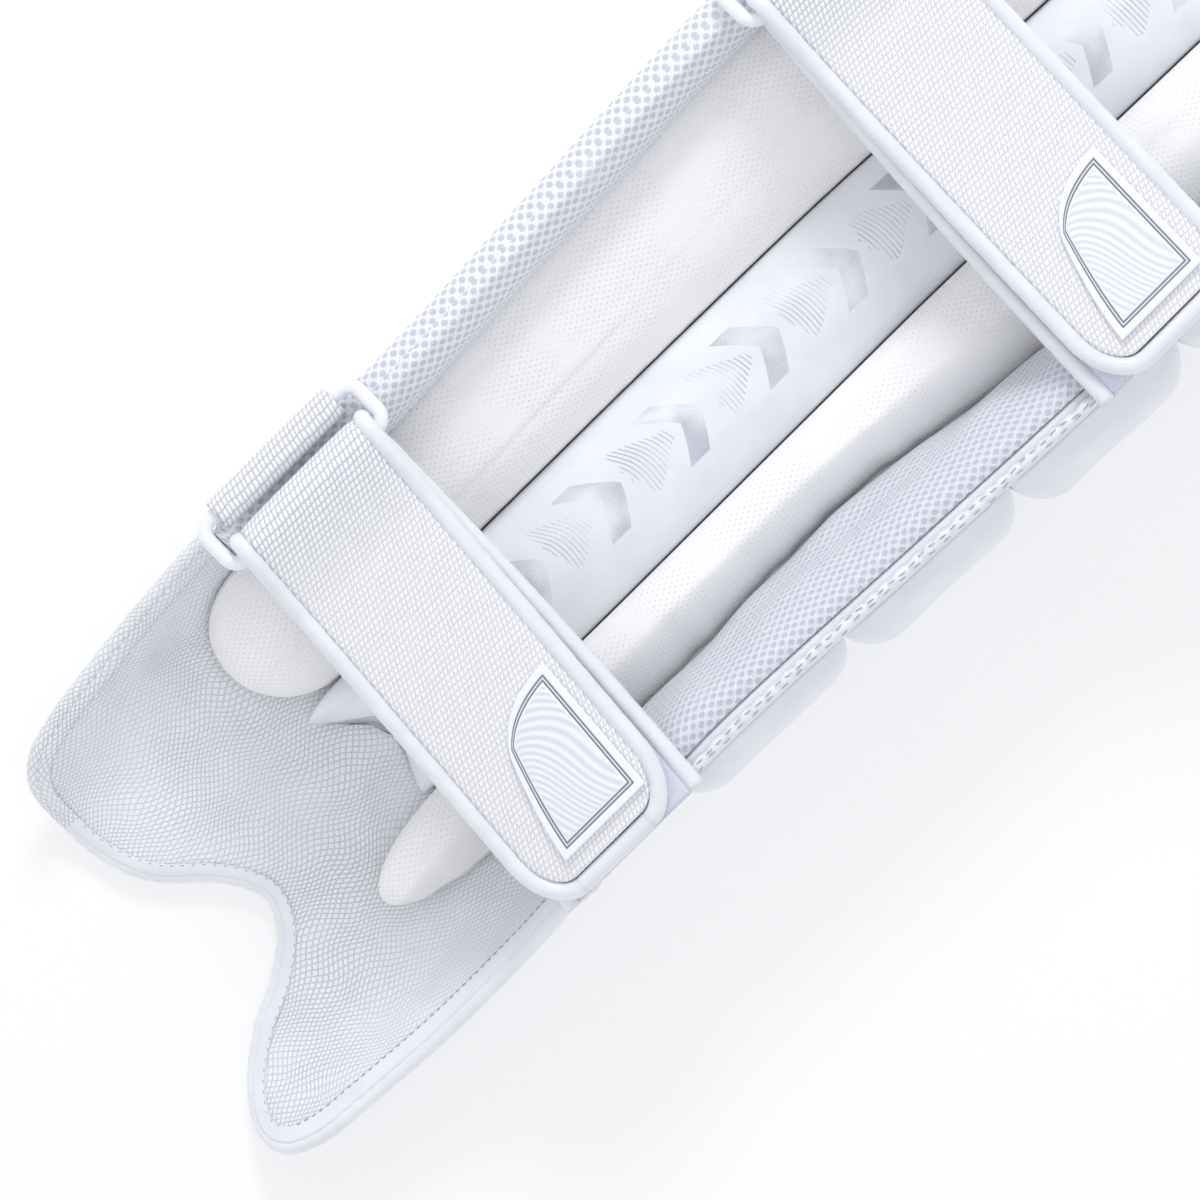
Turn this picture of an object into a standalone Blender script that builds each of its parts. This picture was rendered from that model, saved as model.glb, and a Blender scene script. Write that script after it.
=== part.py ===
"""A wicket keeping leg guard, lying on its front with the leg side up.

Units are metres. X runs across the guard, Y from the foot to the knee and Z from the front
face up to the straps. Every pad is placed on one curved wall: a section of that wall is a flat
middle, an arc on each side and a straight wing, and a place on it is given by the distance
around the section, the distance along the guard and the height off the wall's inner face.
"""
import math

import bmesh
import bpy
from mathutils import Vector

PART_NAME = "wicket_keeping_leg_guard"

# The whole guard
GUARD_LENGTH = 0.640
HALF_WIDTH = 0.100
BEND_RADIUS = 0.046
WRAP_ANGLE = math.radians(78.0)
CLEARANCE = 0.0003
BEND_CLEARANCE = 0.0008

# The padded front and the foot flap
SHELL_WALL = 0.008
FLAP_WALL = 0.009
FLAP_REACH = 0.148
FLAP_START = GUARD_LENGTH / 2 - FLAP_REACH
FLAP_DROOP = 0.0105
WELT_RADIUS = 0.0033
BINDING_RADIUS = 0.0026
SHELL_CELLS = (22, 16, 1)
FLAP_CELLS = (32, 7, 1)

# Pads on the leg side
CENTRE_DEPTH = 0.024
LEFT_BOLSTER_DEPTH = 0.033
RIGHT_BOLSTER_DEPTH = 0.030
WING_PAD_DEPTH = 0.013
WING_ROLL_DEPTH = 0.021
WING_ROLL_EDGE = 0.45
KNEE_OPENING = 0.058
PAD_TOP = GUARD_LENGTH / 2 - KNEE_OPENING
PAD_TOP_ROUND = 0.030
WING_TOP_MARGIN = 0.028
WING_TOP = GUARD_LENGTH / 2 - WING_TOP_MARGIN
WING_FOOT_ROUND = 0.012
CENTRE_GATHERS = 7
GATHER_HEIGHT = 0.0016
GATHER_LENGTH = 0.030

# How far the pads reach past the flap's join, and how round they end there
LEFT_BOLSTER_REACH = 0.035
LEFT_BOLSTER_ROUND = 0.034
RIGHT_BOLSTER_REACH = 0.051
RIGHT_BOLSTER_ROUND = 0.040
CENTRE_REACH = 0.0265
CENTRE_ROUND = 0.016

# Rolls on the front and on the outer side
ROLL_DEPTH = 0.0125
FRONT_FLATTENED = 0.0016
ROLL_ROUND = 0.016
SHIN_ROLLS = 5
SHIN_ROLL_WIDTH = 0.0245
SHIN_TOP_ROUND = 0.012
KNEE_LENGTH = 0.202
SHIN_ROLL_TOP = GUARD_LENGTH / 2 - KNEE_LENGTH
KNEE_ROLLS = 3
KNEE_ROLL_LENGTH = 0.033
KNEE_ROLL_WIDTH = 0.148
KNEE_ROLL_ROUND = 0.014
TOP_PAD_WIDTH = 0.140
TOP_PAD_DEPTH = 0.010
TOP_PAD_MARGIN = 0.010
TOP_PAD_END = GUARD_LENGTH / 2 - TOP_PAD_MARGIN
SIDE_ROLLS = 5
SIDE_ROLL_WIDTH = 0.062
SIDE_ROLL_DEPTH = 0.021
SIDE_ROLL_THINNEST = 0.70
SIDE_ROLL_INSET = 0.004
SIDE_ROLL_RISE = 0.058
SIDE_ROLL_MARGIN = 0.014
SIDE_ROLL_FOOT = FLAP_START - SIDE_ROLL_RISE
SIDE_ROLL_LENGTH = (GUARD_LENGTH / 2 - SIDE_ROLL_MARGIN + SIDE_ROLL_FOOT) / SIDE_ROLLS

# Straps, their rings and badges
STRAP_WIDTH = 0.072
STRAP_THICKNESS = 0.0062
PIPING_RADIUS = 0.0036
LAYER_GAP = 0.0005
STRAP_SAG = 0.005
STRAP_END_RADIUS = 0.019
STRAP_SPREAD = 0.034
RING_BAR_RADIUS = 0.0029
RING_REACH = 0.0207
RING_CORNER_RADIUS = 0.006
RING_SIDE_GAP = 0.0009
TAB_THICKNESS = 0.0016
TAB_DROP = 0.024
BADGE_LENGTH = 0.055
BADGE_HEIGHT = 0.042
BADGE_THICKNESS = 0.0018
BADGE_INSET = 0.0078
BADGE_LEAN = 0.016

# "along" is a share of the guard's length, "end" and "anchor" shares of its half width, "badge"
# is the badge's shift as a share of the strap's width, and "slant" is how far a strap drops for
# each metre across.
LOWER_STRAP_SHARES = {"along": -0.2086, "slant": -0.082, "end": 0.895, "anchor": 0.975, "badge": 0.06}
UPPER_STRAP_SHARES = {"along": 0.2289, "slant": -0.036, "end": 0.985, "anchor": 1.045, "badge": 0.02}

# Sections of the wall. "along" is a share of the guard's length from its middle, "wrap" of the
# wrap angle, "droop" of the flap's droop, and the other columns are shares of the half width.
SECTION_COLUMNS = (
    "along", "centre", "flat", "wrap", "wing", "droop", "centre_left", "centre_right", "right_seam",
)
SECTIONS = (
    (-0.500, 0.020, 0.460, 0.58, 0.16, 1.00, -0.24, 0.30, 0.56),
    (-0.390, 0.005, 0.460, 0.64, 0.20, 0.80, -0.24, 0.30, 0.60),
    (-0.310, -0.015, 0.440, 0.76, 0.25, 0.30, -0.25, 0.31, 0.64),
    (-0.260, -0.030, 0.415, 0.83, 0.27, 0.00, -0.25, 0.31, 0.67),
    (-0.200, -0.040, 0.400, 0.92, 0.29, 0.00, -0.25, 0.32, 0.71),
    (-0.130, -0.040, 0.400, 1.00, 0.30, 0.00, -0.25, 0.325, 0.71),
    (0.020, -0.040, 0.443, 1.00, 0.30, 0.00, -0.240, 0.329, 0.69),
    (0.150, -0.040, 0.480, 1.00, 0.30, 0.00, -0.22, 0.335, 0.84),
    (0.300, -0.030, 0.500, 1.00, 0.30, 0.00, -0.165, 0.355, 0.92),
    (0.400, -0.020, 0.500, 0.88, 0.27, 0.00, -0.16, 0.36, 0.94),
    (0.500, -0.010, 0.450, 0.70, 0.20, 0.00, -0.16, 0.36, 0.90),
)

# The flap's free end from its left corner to its right one. "around" is a share of the half
# arc on that side, "reach" a share of the flap's reach below the join.
OUTLINE_COLUMNS = ("around", "reach")
FLAP_OUTLINE = (
    (-1.00, 0.60),
    (-0.96, 0.715),
    (-0.86, 0.775),
    (-0.70, 0.790),
    (-0.50, 0.784),
    (-0.30, 0.735),
    (-0.12, 0.625),
    (0.02, 0.565),
    (0.14, 0.550),
    (0.28, 0.595),
    (0.41, 0.700),
    (0.52, 0.835),
    (0.66, 0.945),
    (0.80, 0.995),
    (0.92, 0.975),
    (0.985, 0.890),
    (1.00, 0.760),
)


# How far the centre panel's foot rises over its lowest corner, from its left side to its right
FOOT_COLUMNS = ("across", "rise")
CENTRE_FOOT_LINE = (
    (-1.00, 0.0),
    (-0.53, 0.0126),
    (-0.16, 0.0200),
    (0.30, 0.0195),
    (0.80, 0.0137),
    (1.00, 0.0120),
)


def column(table, columns, name):
    """One named column of a table as a list."""
    place = columns.index(name)
    return [row[place] for row in table]


def smooth_value(keys, values, key):
    """A smooth curve through a table's values, read at one key."""
    if key <= keys[0]:
        return values[0]
    if key >= keys[-1]:
        return values[-1]
    i = max(n for n in range(len(keys) - 1) if keys[n] <= key)
    step = keys[i + 1] - keys[i]
    before = max(i - 1, 0)
    after = min(i + 2, len(keys) - 1)
    slope_in = (values[i + 1] - values[before]) / (keys[i + 1] - keys[before]) * step
    slope_out = (values[after] - values[i]) / (keys[after] - keys[i]) * step
    t = (key - keys[i]) / step
    return (
        (2 * t**3 - 3 * t**2 + 1) * values[i]
        + (t**3 - 2 * t**2 + t) * slope_in
        + (3 * t**2 - 2 * t**3) * values[i + 1]
        + (t**3 - t**2) * slope_out
    )


def section(name, y):
    """A column of the section table at a place along the guard."""
    keys = column(SECTIONS, SECTION_COLUMNS, "along")
    values = column(SECTIONS, SECTION_COLUMNS, name)
    return smooth_value(keys, values, y / GUARD_LENGTH)


def flat_half(y):
    return section("flat", y) * HALF_WIDTH


def wrap(y):
    return section("wrap", y) * WRAP_ANGLE


def arc_end(y):
    """Distance around the wall from its middle to where the wing goes straight."""
    return flat_half(y) + BEND_RADIUS * wrap(y)


def wing_end(y):
    """Distance around the wall from its middle to the wing's edge."""
    return arc_end(y) + section("wing", y) * HALF_WIDTH


def wall_base():
    """Height of the wall's inner face in the middle, over the front rolls flattened by the floor."""
    return ROLL_DEPTH + BEND_CLEARANCE + SHELL_WALL - FRONT_FLATTENED


def wall_point(around, y, height, droop=False):
    """A point at a height off the wall's inner face, positive towards the leg."""
    side = -1.0 if around < 0 else 1.0
    distance = abs(around)
    flat = flat_half(y)
    angle = min(max((distance - flat) / BEND_RADIUS, 0.0), wrap(y))
    straight = max(distance - arc_end(y), 0.0)
    x = min(distance, flat) + BEND_RADIUS * math.sin(angle) + straight * math.cos(angle)
    z = BEND_RADIUS * (1 - math.cos(angle)) + straight * math.sin(angle)
    x -= height * math.sin(angle)
    z += height * math.cos(angle) + wall_base()
    if droop:
        z -= section("droop", y) * FLAP_DROOP
    return Vector((section("centre", y) * HALF_WIDTH + side * x, y, z))


def start_scene():
    for old in list(bpy.data.objects):
        bpy.data.objects.remove(old)
    part = bpy.data.collections.new(PART_NAME)
    bpy.context.scene.collection.children.link(part)
    return part


def finish_material(name, colour, roughness, metallic=0.0):
    material = bpy.data.materials.new(name)
    material.use_nodes = True
    shader = material.node_tree.nodes["Principled BSDF"]
    shader.inputs["Base Color"].default_value = (*colour, 1.0)
    shader.inputs["Roughness"].default_value = roughness
    shader.inputs["Metallic"].default_value = metallic
    material.diffuse_color = (*colour, 1.0)
    return material


def add_mesh(part, name, mesh_data, material):
    mesh = bpy.data.meshes.new(name)
    mesh_data.to_mesh(mesh)
    mesh_data.free()
    mesh.materials.append(material)
    mesh.shade_smooth()
    piece = bpy.data.objects.new(name, mesh)
    part.objects.link(piece)
    return piece


def add_thickness(piece, thickness, offset):
    wall = piece.modifiers.new("thickness", "SOLIDIFY")
    wall.thickness = thickness
    wall.offset = offset
    wall.use_even_offset = True
    return wall


def cut_box(cells):
    """A cube primitive from -1 to 1, cut into cells along each axis."""
    box = bmesh.new()
    bmesh.ops.create_cube(box, size=2.0)
    for axis in range(3):
        along = [
            edge for edge in box.edges
            if abs(edge.verts[0].co[axis] - edge.verts[1].co[axis]) > 0.01
        ]
        if cells[axis] > 1:
            bmesh.ops.subdivide_edges(box, edges=along, cuts=cells[axis] - 1, use_grid_fill=True)
    return box


def grid(cells_x, cells_y):
    """A flat grid primitive from 0 to 1 both ways."""
    sheet = bmesh.new()
    bmesh.ops.create_grid(sheet, x_segments=cells_x, y_segments=cells_y, size=0.5)
    for point in sheet.verts:
        point.co.x += 0.5
        point.co.y += 0.5
    return sheet


def crown(across, power):
    """The rounded rise of a stuffed pad, 1 in the middle and 0 at its sides."""
    return math.sqrt(max(1.0 - abs(across) ** power, 0.0))


def end_rise(distance, radius):
    """How much of its full height a pad has at a distance from its rounded end."""
    near = min(max(distance / radius, 0.03), 1.0)
    return math.sqrt(1.0 - (1.0 - near) ** 2)


def spread(share, ends):
    """Moves evenly spaced places, -1 to 1, towards the two ends of a pad."""
    side = -1.0 if share < 0 else 1.0
    return side * (1.0 - (1.0 - abs(share)) ** ends)


def add_pad(part, name, material, pad):
    """A stuffed pad on the wall, a cut box bent over it with a crowned top and rounded ends."""
    box = cut_box(pad["cells"])
    high = pad["high"]
    for point in box.verts:
        across, along, up = point.co
        low = pad["low"] + (pad["foot_rise"](across) if "foot_rise" in pad else 0.0)
        y = low + (high - low) * (spread(along, pad.get("ends", 1.5)) + 1) / 2
        rise = end_rise(y - low, pad["low_round"]) * end_rise(high - y, pad["high_round"])
        left = pad["left"](y)
        right = pad["right"](y)
        pull = pad.get("end_pull", 1.0)
        width = 1.0 - pull * (1.0 - rise)
        around = (left + right) / 2 + across * width * (right - left) / 2
        edge = pad.get("edge", 0.30)
        full = (edge + (1 - edge) * crown(across, pad.get("power", 2.6))) * rise
        top = pad["base"] + pad["depth"] * full
        bottom = pad["base"] + pad.get("under", 0.0) * pad["depth"] * (1 - full)
        height = bottom + (top - bottom) * (up + 1) / 2
        if "ripple" in pad and up > -1:
            height += pad["ripple"](across, y - low)
        place = wall_point(around, y, height)
        place.z = max(place.z, 0.0)
        point.co = place
    if pad["depth"] < 0:
        bmesh.ops.reverse_faces(box, faces=box.faces)
    return add_mesh(part, name, box, material)


def add_tube(part, name, points, radius, material, closed=False, resolution=1):
    curve = bpy.data.curves.new(name, "CURVE")
    curve.dimensions = "3D"
    curve.bevel_depth = radius
    curve.bevel_resolution = resolution
    curve.use_fill_caps = not closed
    spline = curve.splines.new("POLY")
    spline.points.add(len(points) - 1)
    for place, target in zip(points, spline.points):
        target.co = (*place, 1.0)
    spline.use_cyclic_u = closed
    curve.materials.append(material)
    tube = bpy.data.objects.new(name, curve)
    part.objects.link(tube)
    return tube


def add_wall(part, name, material, cells, wall, place):
    """A padded wall, a cut box bent so that its upper side is the face towards the leg."""
    box = cut_box(cells)
    for point in box.verts:
        share_across = (point.co.x + 1) / 2
        share_along = (point.co.y + 1) / 2
        point.co = place(share_across, share_along, wall * (point.co.z - 1) / 2)
    return add_mesh(part, name, box, material)


def shell_point(share_across, share_along, height):
    """A point of the front shell, whose left side ends where the wing roll takes over."""
    low = -FLAP_START + CLEARANCE / 2
    high = GUARD_LENGTH / 2 - 2 * BINDING_RADIUS - BEND_CLEARANCE
    y = low + (high - low) * share_along
    left = -arc_end(y)
    return wall_point(left + (wing_end(y) - left) * share_across, y, height)


def flap_edge(share):
    """A point of the flap's free end, as distance around the wall and along the guard."""
    keys = [n / (len(FLAP_OUTLINE) - 1) for n in range(len(FLAP_OUTLINE))]
    around = smooth_value(keys, column(FLAP_OUTLINE, OUTLINE_COLUMNS, "around"), share)
    reach = smooth_value(keys, column(FLAP_OUTLINE, OUTLINE_COLUMNS, "reach"), share)
    y = -FLAP_START - reach * FLAP_REACH
    return around * (wing_end(y) - 2 * WELT_RADIUS), y


def flap_place(share, down):
    """A place on the flap, from the join at its top down to its free end."""
    top = -FLAP_START - CLEARANCE / 2
    end_around, end_y = flap_edge(share)
    start = (2 * share - 1) * (wing_end(top) - 2 * WELT_RADIUS)
    return start + (end_around - start) * down, top + (end_y - top) * down


def flap_point(share_across, share_along, height):
    around, y = flap_place(share_across, 1 - share_along)
    return wall_point(around, y, height, droop=True)


def flap_border():
    """The flap's whole free border, down its left side, round the lobes and up its right."""
    side_steps = FLAP_CELLS[1]
    left = [flap_place(0.0, n / side_steps) for n in range(side_steps)]
    end = [flap_edge(n / FLAP_CELLS[0]) for n in range(FLAP_CELLS[0] + 1)]
    right = [flap_place(1.0, 1 - n / side_steps) for n in range(1, side_steps + 1)]
    return left + end + right


def add_flap_welt(part, material):
    """The rolled welt beyond the flap's free border, at the middle of its thickness."""
    border = flap_border()
    top = -FLAP_START - 2 * BEND_CLEARANCE
    step_out = WELT_RADIUS + BEND_CLEARANCE
    points = []
    for n, place in enumerate(border):
        before = border[max(n - 1, 0)]
        after = border[min(n + 1, len(border) - 1)]
        along = Vector((after[0] - before[0], after[1] - before[1])).normalized()
        around = place[0] + along.y * step_out
        y = place[1] - along.x * step_out
        points.append(wall_point(around, min(y, top), -FLAP_WALL / 2, droop=True))
    add_tube(part, "flap_welt", points, WELT_RADIUS, material)


def add_bindings(part, material):
    """The bound edge of the right wing and of the guard's top."""
    low = -FLAP_START + BINDING_RADIUS
    high = GUARD_LENGTH / 2 - 2 * BINDING_RADIUS
    over = BINDING_RADIUS + BEND_CLEARANCE
    rim = []
    for n in range(25):
        y = low + (high - low) * n / 24
        rim.append(wall_point(wing_end(y) + over, y, -SHELL_WALL / 2))
    add_tube(part, "right_binding", rim, BINDING_RADIUS, material)
    y = GUARD_LENGTH / 2 - BINDING_RADIUS
    left = -arc_end(y)
    right = wing_end(y)
    arch = [
        wall_point(left + (right - left) * n / 30, y, -SHELL_WALL / 2) for n in range(31)
    ]
    add_tube(part, "top_binding", arch, BINDING_RADIUS, material)


def seam(name, gap):
    """A seam line between two pads, moved by a gap to one side."""
    return lambda y: section(name, y) * HALF_WIDTH + gap


def centre_foot_rise(across):
    """The curved line of the centre panel's foot."""
    keys = column(CENTRE_FOOT_LINE, FOOT_COLUMNS, "across")
    return smooth_value(keys, column(CENTRE_FOOT_LINE, FOOT_COLUMNS, "rise"), across)


def centre_gathers(across, from_foot):
    """Small gathers where the centre panel's cover is drawn in at its foot."""
    near = max(1.0 - from_foot / GATHER_LENGTH, 0.0)
    return -GATHER_HEIGHT * near * (1 + math.cos(across * math.pi * CENTRE_GATHERS)) / 2


def add_leg_side_pads(part, knit, smooth, mesh_cloth):
    side_gap = CLEARANCE
    common = {"base": BEND_CLEARANCE, "high": PAD_TOP, "high_round": PAD_TOP_ROUND}
    add_pad(part, "left_bolster", knit, common | {
        "low": -FLAP_START - LEFT_BOLSTER_REACH, "low_round": LEFT_BOLSTER_ROUND, "cells": (8, 15, 1),
        "left": lambda y: -arc_end(y) + side_gap,
        "right": seam("centre_left", -side_gap), "depth": LEFT_BOLSTER_DEPTH,
    })
    add_pad(part, "centre_panel", smooth, common | {
        "low": -FLAP_START - CENTRE_REACH, "low_round": CENTRE_ROUND, "end_pull": 0.12,
        "cells": (8, 13, 1), "foot_rise": centre_foot_rise,
        "left": seam("centre_left", side_gap), "right": seam("centre_right", -side_gap),
        "depth": CENTRE_DEPTH, "edge": 0.42, "ripple": centre_gathers,
    })
    add_pad(part, "right_bolster", knit, common | {
        "low": -FLAP_START - RIGHT_BOLSTER_REACH, "low_round": RIGHT_BOLSTER_ROUND, "cells": (7, 15, 1),
        "left": seam("centre_right", side_gap), "right": seam("right_seam", -side_gap),
        "depth": RIGHT_BOLSTER_DEPTH,
    })
    wings = {
        "low": -FLAP_START + CLEARANCE, "low_round": WING_FOOT_ROUND,
        "high": WING_TOP, "high_round": PAD_TOP_ROUND,
    }
    add_pad(part, "left_wing_roll", mesh_cloth, wings | {
        "cells": (4, 20, 2), "left": lambda y: -wing_end(y), "right": lambda y: -arc_end(y) - BEND_CLEARANCE,
        "base": -SHELL_WALL, "depth": WING_ROLL_DEPTH, "under": 0.35, "end_pull": 0.2,
        "edge": WING_ROLL_EDGE,
    })
    add_pad(part, "right_wing_pad", mesh_cloth, wings | {
        "cells": (5, 13, 1), "left": seam("right_seam", side_gap + BEND_CLEARANCE), "right": wing_end,
        "base": BEND_CLEARANCE, "depth": WING_PAD_DEPTH, "end_pull": 0.05, "edge": 0.35,
    })


def add_front_rolls(part, material):
    """Upright rolls over the shin, cross rolls over the knee and a plain pad above them."""
    outside = -(SHELL_WALL + BEND_CLEARANCE)
    low = -FLAP_START + CLEARANCE
    pitch = SHIN_ROLL_WIDTH
    first = -pitch * SHIN_ROLLS / 2
    for n in range(SHIN_ROLLS):
        left = first + n * pitch + CLEARANCE
        right = first + (n + 1) * pitch - CLEARANCE
        add_pad(part, f"shin_roll_{n + 1}", material, {
            "low": low, "high": SHIN_ROLL_TOP, "low_round": ROLL_ROUND, "high_round": SHIN_TOP_ROUND,
            "cells": (4, 8, 1), "left": lambda y, s=left: s, "right": lambda y, s=right: s,
            "base": outside, "depth": -ROLL_DEPTH, "end_pull": 0.15,
        })
    for n in range(KNEE_ROLLS):
        start = SHIN_ROLL_TOP + n * KNEE_ROLL_LENGTH
        add_pad(part, f"knee_roll_{n + 1}", material, {
            "low": start + 2 * CLEARANCE, "high": start + KNEE_ROLL_LENGTH - CLEARANCE,
            "low_round": KNEE_ROLL_ROUND, "high_round": KNEE_ROLL_ROUND, "ends": 1.3, "cells": (14, 4, 1),
            "left": lambda y: -KNEE_ROLL_WIDTH / 2, "right": lambda y: KNEE_ROLL_WIDTH / 2,
            "base": outside, "depth": -ROLL_DEPTH, "end_pull": 0.04, "power": 8.0,
        })
    add_pad(part, "top_pad", material, {
        "low": SHIN_ROLL_TOP + KNEE_ROLLS * KNEE_ROLL_LENGTH + 2 * CLEARANCE, "high": TOP_PAD_END,
        "low_round": ROLL_ROUND, "high_round": PAD_TOP_ROUND, "cells": (14, 5, 1),
        "left": lambda y: -TOP_PAD_WIDTH / 2, "right": lambda y: TOP_PAD_WIDTH / 2,
        "base": outside, "depth": -TOP_PAD_DEPTH, "end_pull": 0.08, "power": 6.0,
    })
    for n in range(SIDE_ROLLS):
        start = -SIDE_ROLL_FOOT + n * SIDE_ROLL_LENGTH
        thick = SIDE_ROLL_DEPTH * (SIDE_ROLL_THINNEST + (1 - SIDE_ROLL_THINNEST) * min(n / 2, 1.0))
        add_pad(part, f"side_roll_{n + 1}", material, {
            "low": start + CLEARANCE, "high": start + SIDE_ROLL_LENGTH - CLEARANCE,
            "low_round": ROLL_ROUND, "high_round": ROLL_ROUND, "cells": (6, 6, 1),
            "left": lambda y: max(wing_end(y) - SIDE_ROLL_WIDTH, KNEE_ROLL_WIDTH / 2 + CLEARANCE),
            "right": lambda y: wing_end(y) - SIDE_ROLL_INSET,
            "base": outside, "depth": -thick, "end_pull": 0.05, "power": 3.2,
        })


def right_rim_height(y):
    """Height of the right wing's bound edge."""
    rim = wall_point(wing_end(y) + BINDING_RADIUS + BEND_CLEARANCE, y, -SHELL_WALL / 2)
    return rim.z + BINDING_RADIUS


def strap_sizes(name, shares):
    """A strap's places in metres from its shares of the guard."""
    return {
        "name": name,
        "along": shares["along"] * GUARD_LENGTH,
        "slant": shares["slant"],
        "end": shares["end"] * HALF_WIDTH,
        "anchor": shares["anchor"] * HALF_WIDTH,
        "badge": shares["badge"] * STRAP_WIDTH,
    }


def strap_layout(strap):
    """Places of a strap's ring and layers, worked out from the wings that carry them."""
    span = STRAP_WIDTH / 2 + RING_SIDE_GAP + 2 * RING_BAR_RADIUS
    places = [strap["along"] + span * (n / 4 - 1) for n in range(9)]
    left_x = min(wall_point(-wing_end(y), y, -SHELL_WALL).x for y in places)
    roll_top = -SHELL_WALL + WING_ROLL_DEPTH * WING_ROLL_EDGE
    left_z = max(wall_point(-wing_end(y), y, roll_top).z for y in places)
    tab_radius = RING_BAR_RADIUS + CLEARANCE + TAB_THICKNESS / 2
    face = left_x - BEND_CLEARANCE - TAB_THICKNESS / 2
    outer_z = left_z + CLEARANCE + tab_radius + TAB_THICKNESS / 2
    fold = RING_BAR_RADIUS + CLEARANCE + max(STRAP_THICKNESS / 2, PIPING_RADIUS)
    inner_z = left_z + CLEARANCE + fold + max(STRAP_THICKNESS / 2, PIPING_RADIUS)
    inner_x = face + tab_radius + RING_REACH
    anchor_y = strap["along"] + strap["slant"] * (strap["anchor"] - inner_x)
    anchor_z = right_rim_height(anchor_y) + BEND_CLEARANCE + PIPING_RADIUS
    return {
        "face": face,
        "tab_radius": tab_radius,
        "outer": Vector((face + tab_radius, 0.0, outer_z)),
        "inner": Vector((inner_x, 0.0, inner_z)),
        "fold": fold,
        "anchor": Vector((strap["anchor"], anchor_y, anchor_z)),
        "pitch": 2 * PIPING_RADIUS + LAYER_GAP,
    }


def strap_path(strap):
    """The strap's middle line in the X and Z plane: under layer, fold round the ring, top layer."""
    layout = strap_layout(strap)
    inner = layout["inner"]
    anchor = layout["anchor"]
    fold = layout["fold"]

    def under_z(x):
        share = (x - inner.x) / (anchor.x - inner.x)
        straight = (inner.z - fold) + (anchor.z - inner.z + fold) * share
        return straight - 4 * STRAP_SAG * share * (1 - share)

    def top_z(x):
        away = min(max((x - inner.x) / STRAP_SPREAD, 0.0), 1.0)
        ease = 1 - away * away * (3 - 2 * away)
        return under_z(x) + layout["pitch"] + (2 * fold - layout["pitch"]) * ease

    path = []
    under_steps = 9
    for n in range(under_steps):
        x = anchor.x + (inner.x - anchor.x) * n / under_steps
        path.append((x, under_z(x)))
    fold_steps = 6
    for n in range(fold_steps + 1):
        turn = math.pi * n / fold_steps
        path.append((inner.x - fold * math.sin(turn), inner.z - fold * math.cos(turn)))
    straight_end = strap["end"] - STRAP_END_RADIUS
    top_steps = 10
    for n in range(1, top_steps + 1):
        x = inner.x + (straight_end - inner.x) * (n / top_steps) ** 1.15
        path.append((x, top_z(x)))
    corner_steps = 6
    for n in range(1, corner_steps + 1):
        x = straight_end + STRAP_END_RADIUS * math.sin(math.pi / 2 * n / corner_steps)
        path.append((x, top_z(x)))
    return path, len(path) - 1 - corner_steps


def lay_strap(strap, x, z, across):
    """Puts a place of the middle line at its slant, twisted to lie along the right wing's rim."""
    layout = strap_layout(strap)
    reach = x - layout["inner"].x
    share = max(reach / (layout["anchor"].x - layout["inner"].x), 0.0)
    rise = right_rim_height(layout["anchor"].y + across) - right_rim_height(layout["anchor"].y)
    y = strap["along"] + strap["slant"] * reach + across
    return Vector((x, y, z + share * share * rise))


def strap_point(strap, path, row, across):
    """A point of the strap: a row of its path and a distance across its width."""
    return lay_strap(strap, path[row][0], path[row][1], across)


def end_half_width(path, row, corner_row, half, corner):
    """Half width at a row of the path, which narrows round the corners of the free end."""
    if row <= corner_row:
        return half
    steps = len(path) - 1 - corner_row
    return half - corner * (1 - math.cos(math.pi / 2 * (row - corner_row) / steps))


def add_strap(part, strap, material):
    """One band, sewn to the right wing, that folds round the ring and comes back on top."""
    path, corner_row = strap_path(strap)
    half = STRAP_WIDTH / 2 - 2 * PIPING_RADIUS - BEND_CLEARANCE
    corner = STRAP_END_RADIUS - 2 * PIPING_RADIUS - BEND_CLEARANCE
    rows = len(path) - 1
    sheet = grid(rows, 4)
    for point in sheet.verts:
        row = round(point.co.x * rows)
        width = end_half_width(path, row, corner_row, half, corner)
        point.co = strap_point(strap, path, row, (2 * point.co.y - 1) * width)
    band = add_mesh(part, f"{strap['name']}_strap", sheet, material)
    add_thickness(band, STRAP_THICKNESS, 0.0)


def add_strap_piping(part, strap, material):
    """The rolled binding along both edges of the strap and round its free end."""
    path, corner_row = strap_path(strap)
    half = STRAP_WIDTH / 2 - PIPING_RADIUS
    corner = STRAP_END_RADIUS - PIPING_RADIUS
    rows = len(path)
    straight = [strap_point(strap, path, row, half) for row in range(corner_row + 1)]
    other = [strap_point(strap, path, row, -half) for row in range(corner_row + 1)]
    reach = PIPING_RADIUS + CLEARANCE
    tip = []
    steps = rows - 1 - corner_row
    for n in range(1, steps + 1):
        turn = math.pi / 2 * n / steps
        row = corner_row + n
        point = strap_point(strap, path, row, half - corner * (1 - math.cos(turn)))
        tip.append(point + Vector((reach * math.sin(turn), 0.0, 0.0)))
    mirrored = [
        Vector((point.x, 2 * centre.y - point.y, point.z))
        for point, centre in zip(
            tip, (strap_point(strap, path, corner_row + n, 0.0) for n in range(1, steps + 1))
        )
    ]
    points = straight + tip + mirrored[::-1] + other[::-1]
    add_tube(part, f"{strap['name']}_strap_piping", points, PIPING_RADIUS, material)


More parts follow.
